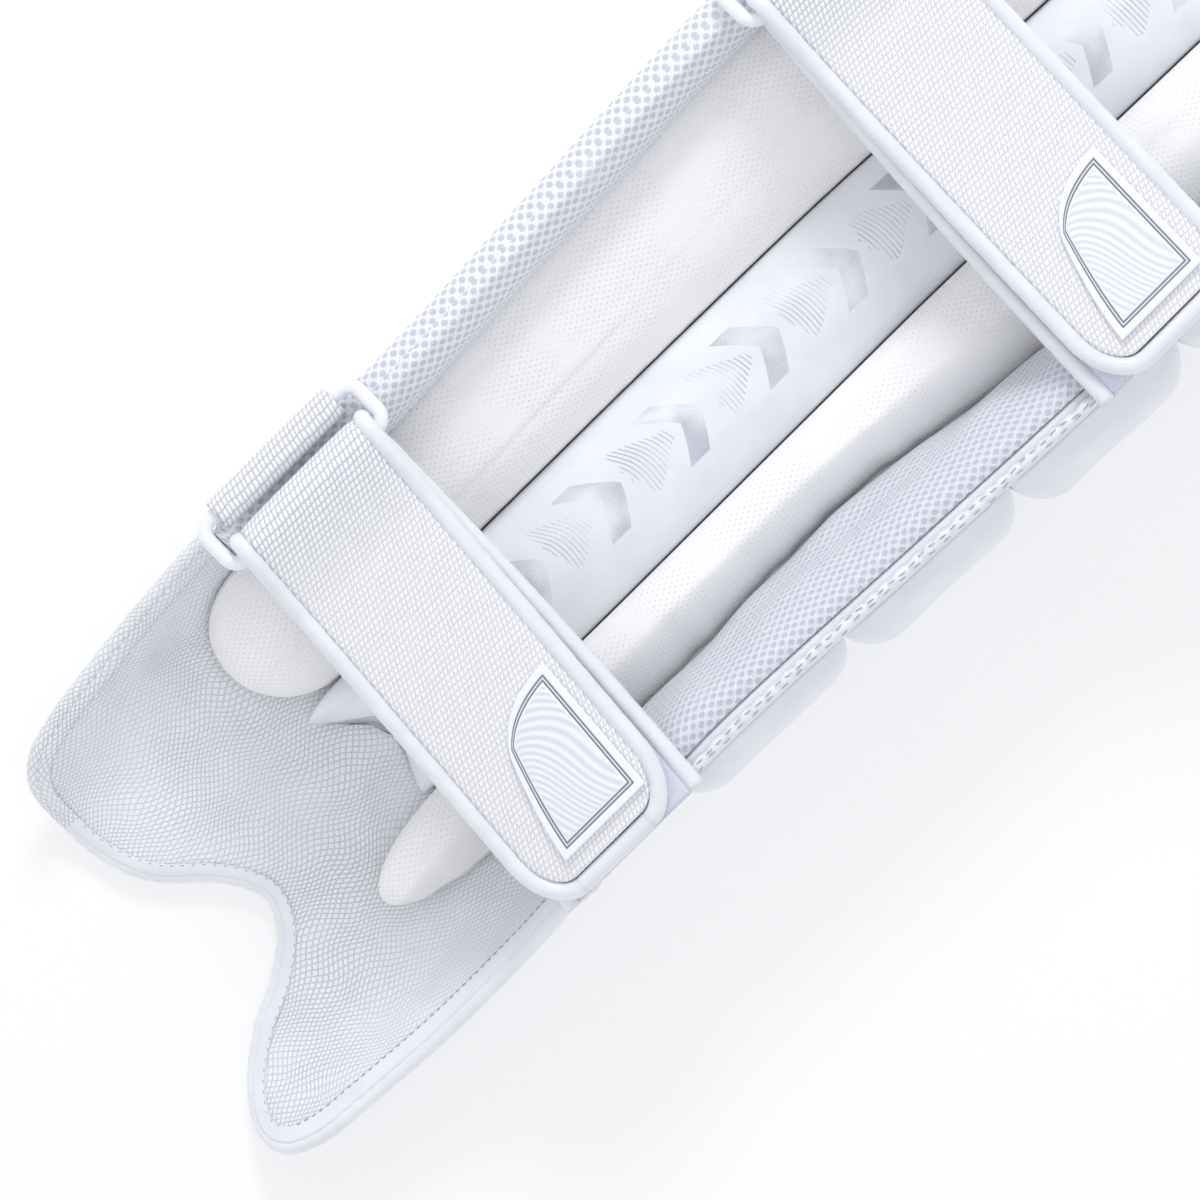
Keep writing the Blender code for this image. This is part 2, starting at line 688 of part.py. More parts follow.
def add_ring(part, strap, material):
    """A moulded loop of round bar, tilted from the webbing tab up to the fold of the strap."""
    layout = strap_layout(strap)
    outer = layout["outer"]
    inner = layout["inner"]
    half = STRAP_WIDTH / 2 + RING_SIDE_GAP + RING_BAR_RADIUS
    reach = (inner - outer).length
    slope = (inner - outer).normalized()
    radius = RING_CORNER_RADIUS
    corners = (
        (reach - radius, half - radius, 0),
        (radius, half - radius, 1),
        (radius, radius - half, 2),
        (reach - radius, radius - half, 3),
    )
    points = []
    for across, along, quarter in corners:
        for n in range(5):
            turn = math.pi / 2 * (quarter + n / 4)
            place = outer + slope * (across + radius * math.cos(turn))
            place.y = strap["along"] + along + radius * math.sin(turn)
            points.append(place)
    add_tube(part, f"{strap['name']}_ring", points, RING_BAR_RADIUS, material, closed=True, resolution=3)


def add_ring_tab(part, strap, material):
    """A webbing tab, sewn to the left wing's outer face, that wraps the ring's outer bar."""
    layout = strap_layout(strap)
    outer = layout["outer"]
    radius = layout["tab_radius"]
    sewn_rows = 4
    wrap_rows = 10
    half = STRAP_WIDTH / 2 + RING_SIDE_GAP - RING_CORNER_RADIUS
    rows = sewn_rows + wrap_rows
    sheet = grid(rows, 4)
    off_face = -(SHELL_WALL + BEND_CLEARANCE + TAB_THICKNESS / 2)
    for point in sheet.verts:
        row = round(point.co.x * rows)
        y = strap["along"] + (2 * point.co.y - 1) * half
        if row < sewn_rows:
            down = TAB_DROP * (1 - row / (sewn_rows - 1))
            point.co = wall_point(-(wing_end(y) - down), y, off_face)
        else:
            turn = math.pi - math.pi * 1.5 * (row - sewn_rows) / wrap_rows
            point.co = (outer.x + radius * math.cos(turn), y, outer.z + radius * math.sin(turn))
    tab = add_mesh(part, f"{strap['name']}_ring_tab", sheet, material)
    add_thickness(tab, TAB_THICKNESS, 0.0)


def add_badge(part, strap, material):
    """A thin moulded patch near the strap's free end, with one curved side."""
    path, _ = strap_path(strap)
    lift = STRAP_THICKNESS / 2 + BEND_CLEARANCE + BADGE_THICKNESS / 2
    right = strap["end"] - BADGE_INSET
    rows_x = [place[0] for place in path[len(path) // 2:]]
    rows_z = [place[1] for place in path[len(path) // 2:]]
    sheet = grid(6, 5)
    for point in sheet.verts:
        down = 1 - point.co.y
        left = right - BADGE_LENGTH + BADGE_LEAN * down * down
        x = left + (right - left) * point.co.x
        z = smooth_value(rows_x, rows_z, x) + lift
        point.co = lay_strap(strap, x, z, strap["badge"] + BADGE_HEIGHT * (0.5 - down))
    badge = add_mesh(part, f"{strap['name']}_badge", sheet, material)
    add_thickness(badge, BADGE_THICKNESS, 0.0)


def centre_on_floor(part):
    """Moves the whole guard so that its box stands centred on the origin."""
    bpy.context.view_layer.update()
    depsgraph = bpy.context.evaluated_depsgraph_get()
    low = Vector((math.inf,) * 3)
    high = Vector((-math.inf,) * 3)
    for piece in part.objects:
        shape = piece.evaluated_get(depsgraph)
        mesh = shape.to_mesh()
        for point in mesh.vertices:
            for axis in range(3):
                low[axis] = min(low[axis], point.co[axis])
                high[axis] = max(high[axis], point.co[axis])
        shape.to_mesh_clear()
    middle = (low + high) / 2
    for piece in part.objects:
        piece.location = (-middle.x, -middle.y, -low.z)


def build():
    part = start_scene()
    leather = finish_material("smooth_leather", (0.86, 0.88, 0.94), 0.45)
    liner = finish_material("embossed_liner", (0.80, 0.83, 0.91), 0.55)
    knit = finish_material("brushed_knit", (0.84, 0.84, 0.83), 0.9)
    mesh_cloth = finish_material("air_mesh", (0.80, 0.82, 0.90), 0.85)
    webbing = finish_material("webbing", (0.88, 0.88, 0.90), 0.75)
    piping = finish_material("piping", (0.88, 0.90, 0.95), 0.5)
    plastic = finish_material("moulded_plastic", (0.85, 0.87, 0.93), 0.25)
    rubber = finish_material("moulded_patch", (0.82, 0.83, 0.87), 0.5)
    add_wall(part, "front_shell", leather, SHELL_CELLS, SHELL_WALL, shell_point)
    add_wall(part, "instep_flap", liner, FLAP_CELLS, FLAP_WALL, flap_point)
    add_flap_welt(part, piping)
    add_bindings(part, piping)
    add_leg_side_pads(part, knit, leather, mesh_cloth)
    add_front_rolls(part, leather)
    for strap in (strap_sizes("lower", LOWER_STRAP_SHARES), strap_sizes("upper", UPPER_STRAP_SHARES)):
        add_strap(part, strap, webbing)
        add_strap_piping(part, strap, piping)
        add_ring(part, strap, plastic)
        add_ring_tab(part, strap, webbing)
        add_badge(part, strap, rubber)
    centre_on_floor(part)


build()
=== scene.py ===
# %% [markdown]
# # A wicket keeping leg guard, lying on its front
# The guard is a padded shell that wraps the shin. On the leg side it has long soft bolsters, a
# smooth centre panel and two wings in air mesh; a foot flap in embossed leather covers the shoe,
# and two straps run through plastic rings and fold back on themselves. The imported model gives
# every part its place. This lesson dresses each of them in leather, cloth, rubber or plastic.

import math

import bmesh
import bpy
import numpy as np
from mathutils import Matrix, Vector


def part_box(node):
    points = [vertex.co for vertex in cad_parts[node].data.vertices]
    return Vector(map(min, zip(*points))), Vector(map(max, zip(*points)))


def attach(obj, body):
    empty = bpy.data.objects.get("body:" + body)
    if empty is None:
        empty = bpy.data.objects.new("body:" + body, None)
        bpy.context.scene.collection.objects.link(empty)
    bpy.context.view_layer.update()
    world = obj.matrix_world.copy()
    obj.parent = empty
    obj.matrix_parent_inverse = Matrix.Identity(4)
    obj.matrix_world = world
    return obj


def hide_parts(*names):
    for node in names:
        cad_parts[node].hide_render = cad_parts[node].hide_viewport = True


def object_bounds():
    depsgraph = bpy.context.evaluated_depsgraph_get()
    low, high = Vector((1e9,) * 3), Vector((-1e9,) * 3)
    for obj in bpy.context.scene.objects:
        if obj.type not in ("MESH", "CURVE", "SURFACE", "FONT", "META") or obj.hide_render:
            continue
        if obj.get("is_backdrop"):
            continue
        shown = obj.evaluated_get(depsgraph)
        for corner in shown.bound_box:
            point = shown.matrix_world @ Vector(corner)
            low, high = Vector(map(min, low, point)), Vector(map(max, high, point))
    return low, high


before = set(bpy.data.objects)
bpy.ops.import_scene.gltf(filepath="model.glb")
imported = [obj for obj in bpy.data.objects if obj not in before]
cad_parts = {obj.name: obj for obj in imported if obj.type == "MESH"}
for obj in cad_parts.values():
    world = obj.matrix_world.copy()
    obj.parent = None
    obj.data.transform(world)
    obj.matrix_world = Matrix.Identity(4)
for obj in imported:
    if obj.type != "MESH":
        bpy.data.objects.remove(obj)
cad_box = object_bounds()
print("packed nodes:", len(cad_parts), "box:", [round(v, 4) for corner in cad_box for v in corner])

# %% [markdown]
# ## Camera, floor and light
# The guard is seen from straight above, turned 45 degrees, with the knee end outside the view.
# A long lens from 2.3 m keeps the far parts as large as the near ones. The studio is a light
# table, which glows from below and so takes most of the shadow off the floor, with a bright
# surround and two weak lamps, so that every pad is only softly shaded.

# %% Camera
SENSOR = 0.036
CAMERA_HEIGHT = 2.3
SUBJECT_HEIGHT = 0.06
VIEW_WIDTH = 0.456
VIEW_MIDDLE = (0.01814, -0.0822)
VIEW_TURN = math.radians(45.0)
camera_data = bpy.data.cameras.new("studio_camera")
camera_data.sensor_width = SENSOR * 1000
camera_data.lens = camera_data.sensor_width * (CAMERA_HEIGHT - SUBJECT_HEIGHT) / VIEW_WIDTH
camera = bpy.data.objects.new("studio_camera", camera_data)
camera.location = (*VIEW_MIDDLE, CAMERA_HEIGHT)
camera.rotation_euler = (0.0, 0.0, VIEW_TURN)
bpy.context.scene.collection.objects.link(camera)
bpy.context.scene.camera = camera
print(f"lens {camera_data.lens:.1f} mm")

# %% Nodes and colours
def linear(colour):
    """An sRGB hex colour as the linear values that a shader takes."""
    channels = [int(colour[n:n + 2], 16) / 255 for n in (1, 3, 5)]
    return (*(c / 12.92 if c <= 0.04045 else ((c + 0.055) / 1.055) ** 2.4 for c in channels), 1.0)


def node(tree, kind, links=None, **settings):
    """Adds a node with its settings.

    Each input that is named or numbered takes a value, an output, or a node, whose first output
    in use it is linked to.
    """
    made = tree.nodes.new(kind)
    for name, value in settings.items():
        setattr(made, name, value)
    for name, source in (links or {}).items():
        if isinstance(source, bpy.types.Node):
            source = next(socket for socket in source.outputs if socket.enabled)
        if isinstance(source, bpy.types.NodeSocket):
            tree.links.new(source, made.inputs[name])
        else:
            made.inputs[name].default_value = source
    return made


# %% Floor and surround
bpy.context.scene.view_settings.view_transform = "Standard"
FLOOR_SIZE = 8.0
floor_mesh = bpy.data.meshes.new("studio_floor")
half_floor = FLOOR_SIZE / 2
floor_mesh.from_pydata(
    [(-half_floor, -half_floor, 0), (half_floor, -half_floor, 0), (half_floor, half_floor, 0),
     (-half_floor, half_floor, 0)], [], [(0, 1, 2, 3)])
floor = bpy.data.objects.new("studio_floor", floor_mesh)
bpy.context.scene.collection.objects.link(floor)
floor_paint = bpy.data.materials.new("white_floor_paint")
floor_paint.use_nodes = True
floor_paint.node_tree.nodes.clear()
FLOOR_GLOW = 0.41
floor_shader = node(floor_paint.node_tree, "ShaderNodeBsdfPrincipled", {
    "Base Color": linear("#CACACA"), "Roughness": 0.9, "Specular IOR Level": 0.1,
    "Emission Color": linear("#FFFFFF"), "Emission Strength": FLOOR_GLOW,
})
node(floor_paint.node_tree, "ShaderNodeOutputMaterial", {"Surface": floor_shader})
floor_mesh.materials.append(floor_paint)
floor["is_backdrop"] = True

surround = bpy.data.worlds.new("studio_surround")
surround.use_nodes = True
surround.node_tree.nodes["Background"].inputs["Color"].default_value = linear("#FAFBFF")
SURROUND_STRENGTH = 0.83
surround.node_tree.nodes["Background"].inputs["Strength"].default_value = SURROUND_STRENGTH
bpy.context.scene.world = surround
print("floor glow and surround:", FLOOR_GLOW, SURROUND_STRENGTH)

# %% Lamps
def add_lamp(name, place, aim, size, power, colour):
    """A soft square lamp at a place, turned towards its aim."""
    lamp_data = bpy.data.lights.new(name, "AREA")
    lamp_data.size = size
    lamp_data.energy = power
    lamp_data.color = linear(colour)[:3]
    lamp = bpy.data.objects.new(name, lamp_data)
    lamp.location = place
    direction = [aim[n] - place[n] for n in range(3)]
    turn_down = math.atan2(math.hypot(direction[0], direction[1]), -direction[2])
    lamp.rotation_euler = (turn_down, 0.0, math.atan2(direction[1], direction[0]) - math.pi / 2)
    bpy.context.scene.collection.objects.link(lamp)
    return lamp


add_lamp(
    "key_lamp", place=(-1.15, 0.95, 1.2), aim=(0.0, -0.08, 0.03), size=0.55, power=12.0, colour="#FFFFFF")
add_lamp(
    "top_lamp", place=(0.35, -0.5, 2.2), aim=(0.0, 0.0, 0.0), size=1.6, power=3.0, colour="#F6F8FF")

# %% [markdown]
# ## The curved wall that carries every pad
# A real guard is sewn round a curved front. Each section across it is a flat middle, an arc on
# each side and a straight wing, so a place on it is a distance around the section, a distance
# along the guard and a height off the wall's inner face. Working in those three numbers keeps
# every pad, seam and stitch on the curve, and the numbers are real lengths of cloth, which the
# weaves use for their scale. Each row of the section table is one place along the guard: its
# place is a share of the length, its widths and seams are shares of the half width, and its wrap
# and droop are shares of the full bend.

# %% Sizes of the wall, in metres
GUARD_LENGTH = 0.640
HALF_WIDTH = 0.100
BEND_RADIUS = 0.046
WRAP_ANGLE = math.radians(78.0)
CLEARANCE = 0.0003
BEND_CLEARANCE = 0.0008
SHELL_WALL = 0.008
FLAP_WALL = 0.009
FLAP_REACH = 0.148
FLAP_START = GUARD_LENGTH / 2 - FLAP_REACH
FLAP_DROOP = 0.0105
WELT_RADIUS = 0.0033
BINDING_RADIUS = 0.0026
ROLL_DEPTH = 0.0125
FRONT_FLATTENED = 0.0016
SECTION_COLUMNS = (
    "along", "centre", "flat", "wrap", "wing", "droop", "centre_left", "centre_right", "right_seam",
)
SECTIONS = np.array((
    (-0.500, 0.020, 0.460, 0.58, 0.16, 1.00, -0.24, 0.30, 0.56),
    (-0.390, 0.005, 0.460, 0.64, 0.20, 0.80, -0.24, 0.30, 0.60),
    (-0.310, -0.015, 0.440, 0.76, 0.25, 0.30, -0.25, 0.31, 0.64),
    (-0.260, -0.030, 0.415, 0.83, 0.27, 0.00, -0.25, 0.31, 0.67),
    (-0.200, -0.040, 0.400, 0.92, 0.29, 0.00, -0.25, 0.32, 0.71),
    (-0.130, -0.040, 0.400, 1.00, 0.30, 0.00, -0.25, 0.325, 0.71),
    (0.020, -0.040, 0.443, 1.00, 0.30, 0.00, -0.240, 0.329, 0.69),
    (0.150, -0.040, 0.480, 1.00, 0.30, 0.00, -0.22, 0.335, 0.84),
    (0.300, -0.030, 0.500, 1.00, 0.30, 0.00, -0.165, 0.355, 0.92),
    (0.400, -0.020, 0.500, 0.88, 0.27, 0.00, -0.16, 0.36, 0.94),
    (0.500, -0.010, 0.450, 0.70, 0.20, 0.00, -0.16, 0.36, 0.90),
))


def smooth_value(keys, values, key):
    """A smooth curve through a table's values, read at many keys."""
    keys, values = np.asarray(keys, float), np.asarray(values, float)
    key = np.clip(key, keys[0], keys[-1])
    i = np.clip(np.searchsorted(keys, key, side="right") - 1, 0, len(keys) - 2)
    before, after = np.maximum(i - 1, 0), np.minimum(i + 2, len(keys) - 1)
    step = keys[i + 1] - keys[i]
    slope_in = (values[i + 1] - values[before]) / (keys[i + 1] - keys[before]) * step
    slope_out = (values[after] - values[i]) / (keys[after] - keys[i]) * step
    t = (key - keys[i]) / step
    return (
        (2 * t**3 - 3 * t**2 + 1) * values[i] + (t**3 - 2 * t**2 + t) * slope_in
        + (3 * t**2 - 2 * t**3) * values[i + 1] + (t**3 - t**2) * slope_out
    )


def section(name, y):
    """A column of the section table at places along the guard."""
    return smooth_value(SECTIONS[:, 0], SECTIONS[:, SECTION_COLUMNS.index(name)], y / GUARD_LENGTH)


def arc_end(y):
    """Distance around the wall from its middle to where the wing goes straight."""
    return section("flat", y) * HALF_WIDTH + BEND_RADIUS * section("wrap", y) * WRAP_ANGLE


def wing_end(y):
    """Distance around the wall from its middle to the wing's edge."""
    return arc_end(y) + section("wing", y) * HALF_WIDTH


# %% A place on the wall
def wall_place(around, y, height, droop=False):
    """Places at a height off the wall's inner face, before the guard is centred on the floor."""
    around, y, height = np.broadcast_arrays(
        np.asarray(around, float), np.asarray(y, float), np.asarray(height, float))
    distance = np.abs(around)
    flat = section("flat", y) * HALF_WIDTH
    angle = np.clip((distance - flat) / BEND_RADIUS, 0.0, section("wrap", y) * WRAP_ANGLE)
    straight = np.maximum(distance - arc_end(y), 0.0)
    x = np.minimum(distance, flat) + BEND_RADIUS * np.sin(angle) + straight * np.cos(angle)
    x = x - height * np.sin(angle)
    z = BEND_RADIUS * (1 - np.cos(angle)) + straight * np.sin(angle) + height * np.cos(angle)
    z = z + ROLL_DEPTH + BEND_CLEARANCE + SHELL_WALL - FRONT_FLATTENED
    if droop:
        z = z - section("droop", y) * FLAP_DROOP
    x = section("centre", y) * HALF_WIDTH + np.where(around < 0, -x, x)
    return np.stack([x, y, z], axis=-1)


def shell_place(share_across, share_along, height):
    """Places of the front shell, whose left side ends where the wing roll takes over."""
    low = -FLAP_START + CLEARANCE / 2
    high = GUARD_LENGTH / 2 - 2 * BINDING_RADIUS - BEND_CLEARANCE
    y = low + (high - low) * share_along
    around = -arc_end(y) + (wing_end(y) + arc_end(y)) * share_across
    return around, y, height


SHELL_CELLS = (22, 16)
shell_net = np.meshgrid(np.linspace(0, 1, SHELL_CELLS[0] + 1), np.linspace(0, 1, SHELL_CELLS[1] + 1))
shell_faces = np.concatenate([
    wall_place(*shell_place(*shell_net, height)).reshape(-1, 3) for height in (0.0, -SHELL_WALL)])
shell_low, shell_high = (np.array(corner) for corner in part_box("front_shell"))
TO_FLOOR = shell_low - shell_faces.min(axis=0)
TO_FLOOR[2] = 0.0
print("shift to the floor, mm:", (TO_FLOOR * 1000).round(2))
print("wall off the packed one, mm:", ((shell_faces.max(axis=0) + TO_FLOOR - shell_high) * 1000).round(2))


def on_wall(around, y, height, droop=False):
    """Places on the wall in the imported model's frame."""
    return wall_place(around, y, height, droop) + TO_FLOOR


# %% [markdown]
# ## From rows of places to a closed mesh
# Pads, tubes and bands are all the same thing to Blender: rows of rings, joined by quads and
# closed at both ends. Building them directly keeps the quads even, which subdivision and soft
# shading like, and each corner can carry a cloth coordinate in metres for the weave.

# %% Mesh from rows
def add_rows(name, places, cloth, material, loop=False, ladder=None):
    """A closed body from rows of rings, whose ends are one face each or a ladder of quads.

    Cloth coordinates have one column more than the rings.
    """
    rows, ring = places.shape[:2]
    count = rows if loop else rows - 1
    i, j = (item.ravel() for item in np.meshgrid(np.arange(count), np.arange(ring), indexing="ij"))
    next_i, next_j = (i + 1) % rows, (j + 1) % ring
    faces = np.stack([i * ring + j, i * ring + next_j, next_i * ring + next_j, next_i * ring + j], 1)
    corners = np.stack([cloth[i, j], cloth[i, j + 1], cloth[i + 1, j + 1], cloth[i + 1, j]], 1)
    faces, corners = faces.tolist(), corners.reshape(-1, 2)
    if ladder is not None:
        a = (ladder + np.arange(ring // 2)) % ring
        b = (ladder - 1 - np.arange(ring // 2)) % ring
        rungs = np.stack([a[:-1], a[1:], b[1:], b[:-1]], 1)
        faces += rungs[:, ::-1].tolist() + (rungs + (rows - 1) * ring).tolist()
        ends = [cloth[0][rungs[:, ::-1]].reshape(-1, 2), cloth[-1][rungs].reshape(-1, 2)]
        corners = np.concatenate([corners, *ends])
    elif not loop:
        faces += [list(range(ring))[::-1], [(rows - 1) * ring + n for n in range(ring)]]
        corners = np.concatenate([corners, cloth[0, :ring][::-1], cloth[-1, :ring]])
    return add_mesh(name, places.reshape(-1, 3), faces, corners, material)


def add_mesh(name, points, faces, corners, material):
    """An object from points and faces, with outward faces and its cloth coordinates."""
    mesh = bpy.data.meshes.new(name)
    mesh.from_pydata(np.asarray(points).tolist(), [], faces)
    mesh.uv_layers.new(name="cloth")
    mesh.uv_layers["cloth"].data.foreach_set("uv", np.asarray(corners, np.float32).ravel())
    shape = bmesh.new()
    shape.from_mesh(mesh)
    bmesh.ops.recalc_face_normals(shape, faces=shape.faces)
    shape.to_mesh(mesh)
    shape.free()
    mesh.materials.append(material)
    mesh.shade_smooth()
    piece = bpy.data.objects.new(name, mesh)
    bpy.context.scene.collection.objects.link(piece)
    return piece


def declare(piece, stands_for=None):
    """Says what a piece rides on and hides the imported node it stands for."""
    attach(piece, "root")
    if stands_for:
        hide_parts(stands_for)
    return piece


def ring_cloth(places, start=0):
    """Cloth coordinates of rows of rings: length round each ring from a start column, and along."""
    closed = np.concatenate([places, places[:, :1]], axis=1)
    round_steps = np.linalg.norm(np.diff(closed, axis=1), axis=2)
    around = np.concatenate([np.zeros((len(places), 1)), np.cumsum(round_steps, axis=1)], axis=1)
    around = around - around[:, start:start + 1]
    middle = places.mean(axis=1)
    steps = np.linalg.norm(np.diff(middle, axis=0), axis=1)
    along = np.concatenate([[0.0], np.cumsum(steps)])[:, None] + np.zeros_like(around)
    return np.stack([around, along], axis=-1)


def soft_noise(u, v, size, seed, waves=7):
    """Smooth random rises and dents, about -1 to 1, that repeat over roughly one size."""
    dice = np.random.default_rng(seed)
    total = 0.0
    for _ in range(waves):
        angle = dice.uniform(0, 2 * math.pi)
        pitch = size / dice.uniform(0.7, 1.5)
        phase = dice.uniform(0, 2 * math.pi)
        total = total + np.sin(2 * math.pi * (u * math.cos(angle) + v * math.sin(angle)) / pitch + phase)
    return total / math.sqrt(waves * 2)


# %% [markdown]
# ## Leather finishes
# The smooth white leather on the guard is polyurethane on a knitted backing, calendered flat, so
# it has a satin sheen, a very fine pore and shallow creases. A real hide has wider pores that
# change from place to place; here one fine cellular pattern with a slow noise over it is nearer.
# The foot flap's liner is the same leather pressed by an engraved roller, which leaves rows of
# small raised diamonds about 2 mm apart. Its pattern is two crossed waves, bent a little by
# noise, because the sheet stretches as it is sewn round the foot.

# %% Start of every cloth or leather material
MM = 1000.0


def start_material(name):
    """An empty material's nodes and the piece's cloth coordinates, in metres."""
    material = bpy.data.materials.new(name)
    material.use_nodes = True
    tree = material.node_tree
    tree.nodes.clear()
    return material, tree, node(tree, "ShaderNodeUVMap", uv_map="cloth")


def finish_shader(tree, height, relief, sockets):
    """A Principled shader with its values, whose normal follows a height of so many metres."""
    bump = node(tree, "ShaderNodeBump", {"Height": height, "Distance": relief, "Strength": 1.0})
    shader = node(tree, "ShaderNodeBsdfPrincipled", {"Normal": bump, **sockets})
    node(tree, "ShaderNodeOutputMaterial", {"Surface": shader})


def scaled(tree, cloth, wide_mm, long_mm, shift=0.0):
    """Cloth coordinates counted in cells of so many millimetres."""
    return node(tree, "ShaderNodeVectorMath", {
        0: cloth, 1: (MM / wide_mm, MM / long_mm, 1.0), 2: (shift, shift, 0.0)}, operation="MULTIPLY_ADD")


# %% Smooth synthetic leather
PORE_MM = 0.9
CREASE_MM = (14.0, 14.0 * 1.6)
CREASE_TO_PORE = 6.0
LEATHER_RELIEF = 0.00005


def smooth_leather(name, colour, shade, roughness):
    """Polyurethane leather: fine pores, slow creases with painted shade in their dips, and a little uneven
    shine.
    """
    material, tree, cloth = start_material(name)
    pores = node(tree, "ShaderNodeTexVoronoi", {
        "Vector": scaled(tree, cloth, PORE_MM, PORE_MM), "Scale": 1.0}, feature="SMOOTH_F1")
    creases = node(tree, "ShaderNodeTexNoise", {
        "Vector": scaled(tree, cloth, *CREASE_MM), "Scale": 1.0, "Detail": 4.0})
    height = node(tree, "ShaderNodeMath", {
        0: creases, 1: CREASE_TO_PORE, 2: pores}, operation="MULTIPLY_ADD")
    # Painted shade: the colour goes to the shade colour in the dips of the slow creases.
    crease_shade = node(tree, "ShaderNodeMapRange", {
        "Value": creases, "From Min": 0.3, "From Max": 0.75}, interpolation_type="SMOOTHSTEP")
    finish_shader(tree, height, LEATHER_RELIEF, {
        "Base Color": node(tree, "ShaderNodeMix", {
            0: crease_shade, 6: linear(shade), 7: linear(colour)}, data_type="RGBA"),
        "Roughness": node(tree, "ShaderNodeMapRange", {
            "Value": creases, "From Min": 0.2, "From Max": 0.8,
            "To Min": roughness - 0.05, "To Max": roughness + 0.07}, interpolation_type="SMOOTHSTEP"),
        "IOR": 1.5, "Coat Weight": 0.08, "Coat Roughness": 0.3,
    })
    return material


white_leather = smooth_leather("smooth_synthetic_leather", "#F1F3F6", "#E9ECF1", roughness=0.40)
piping_leather = smooth_leather("piping_synthetic_leather", "#F0F1F5", "#E8EAEF", roughness=0.34)
print("leather nodes:", len(white_leather.node_tree.nodes))

# %% Embossed liner
DIAMOND_MM = 2.3
DIAMOND_LEAN = 0.62
STRETCH_MM = 34.0
STRETCH_CELLS = 6.0
GRAIN_MM = 0.7
WORN_MM = 60.0
EMBOSS_RELIEF = 0.00030


def embossed_liner():
    """Leather pressed with small raised diamonds, with painted shade in the dips between them."""
    material, tree, cloth = start_material("embossed_liner_leather")
    drift = node(tree, "ShaderNodeTexNoise", {
        "Vector": scaled(tree, cloth, STRETCH_MM, STRETCH_MM), "Scale": 1.0, "Detail": 1.0})
    bent = node(tree, "ShaderNodeVectorMath", {
        0: drift.outputs["Color"], 1: (STRETCH_CELLS, STRETCH_CELLS, 0.0),
        2: scaled(tree, cloth, DIAMOND_MM, DIAMOND_MM)}, operation="MULTIPLY_ADD")
    waves = []
    for lean in (DIAMOND_LEAN, -DIAMOND_LEAN):
        across = node(tree, "ShaderNodeVectorMath", {
            0: bent, 1: (math.pi, math.pi * lean, 0.0)}, operation="DOT_PRODUCT")
        wave = node(tree, "ShaderNodeMath", {0: across}, operation="SINE")
        waves.append(node(tree, "ShaderNodeMath", {0: wave}, operation="ABSOLUTE"))
    nearer = node(tree, "ShaderNodeMath", {0: waves[0], 1: waves[1]}, operation="MINIMUM")
    dips = node(tree, "ShaderNodeMapRange", {
        "Value": nearer, "From Min": 0.0, "From Max": 0.55}, interpolation_type="SMOOTHSTEP")
    grain = node(tree, "ShaderNodeTexNoise", {
        "Vector": scaled(tree, cloth, GRAIN_MM, GRAIN_MM), "Scale": 1.0, "Detail": 2.0})
    worn = node(tree, "ShaderNodeTexNoise", {
        "Vector": scaled(tree, cloth, WORN_MM, WORN_MM), "Scale": 1.0, "Detail": 2.0})
    depth = node(tree, "ShaderNodeMapRange", {
        "Value": worn, "From Min": 0.3, "From Max": 0.7, "To Min": 0.45, "To Max": 1.0,
    }, interpolation_type="SMOOTHSTEP")
    pressed = node(tree, "ShaderNodeMath", {0: dips, 1: depth}, operation="MULTIPLY")
    height = node(tree, "ShaderNodeMath", {0: grain, 1: 0.25, 2: pressed}, operation="MULTIPLY_ADD")
    # Painted shade: the colour is darker in the dips between the diamonds and lighter on their tops.
    finish_shader(tree, height, EMBOSS_RELIEF, {
        "Base Color": node(tree, "ShaderNodeMix", {
            0: dips, 6: linear("#DFE1E8"), 7: linear("#F4F5F8")}, data_type="RGBA"),
        "Roughness": node(tree, "ShaderNodeMapRange", {
            "Value": dips, "To Min": 0.62, "To Max": 0.42}, interpolation_type="SMOOTHSTEP"),
        "IOR": 1.5,
    })
    return material


liner_leather = embossed_liner()
print("liner nodes:", len(liner_leather.node_tree.nodes))

# %% [markdown]
# ## Cloth finishes
# The bolsters are covered in a brushed polyester knit: a matt off-white cloth with rows of tiny
# vents. The wings are in air mesh, a spacer knit whose outer layer has staggered oval holes,
# 4.6 mm apart across and 5.4 mm apart along. The straps are coarse polypropylene webbing, woven in
# ribs that stand up in rows, and where their under layer faces up they have a loop pile for the
# hooks to grip. The thread is spun polyester, greyer than the cloth, so that stitches show. Each
# pattern is drawn from the cloth coordinates at its real pitch; a thread itself is too fine to
# show at this distance, so threads are drawn about twice as coarse as they are.

# %% Brushed knit
NAP_MM = (1.5, 1.5 * 0.7)
VENT_MM = (2.6, 3.8)
VENT_PATCH_MM = 40.0
KNIT_RELIEF = 0.00013


def staggered_cells(tree, cloth, wide_mm, long_mm):
    """Distance, in cells, from the nearest of two crossed rows of places."""
    reach = []
    for shift in (0.0, 0.5):
        cell = node(tree, "ShaderNodeVectorMath", {
            0: scaled(tree, cloth, wide_mm, long_mm, shift)}, operation="FRACTION")
        centred = node(tree, "ShaderNodeVectorMath", {0: cell, 1: (0.5, 0.5, 0.0)}, operation="SUBTRACT")
        flat = node(tree, "ShaderNodeVectorMath", {0: centred, 1: (1.0, 1.0, 0.0)}, operation="MULTIPLY")
        reach.append(node(tree, "ShaderNodeVectorMath", {0: flat}, operation="LENGTH"))
    return node(tree, "ShaderNodeMath", {0: reach[0], 1: reach[1]}, operation="MINIMUM")


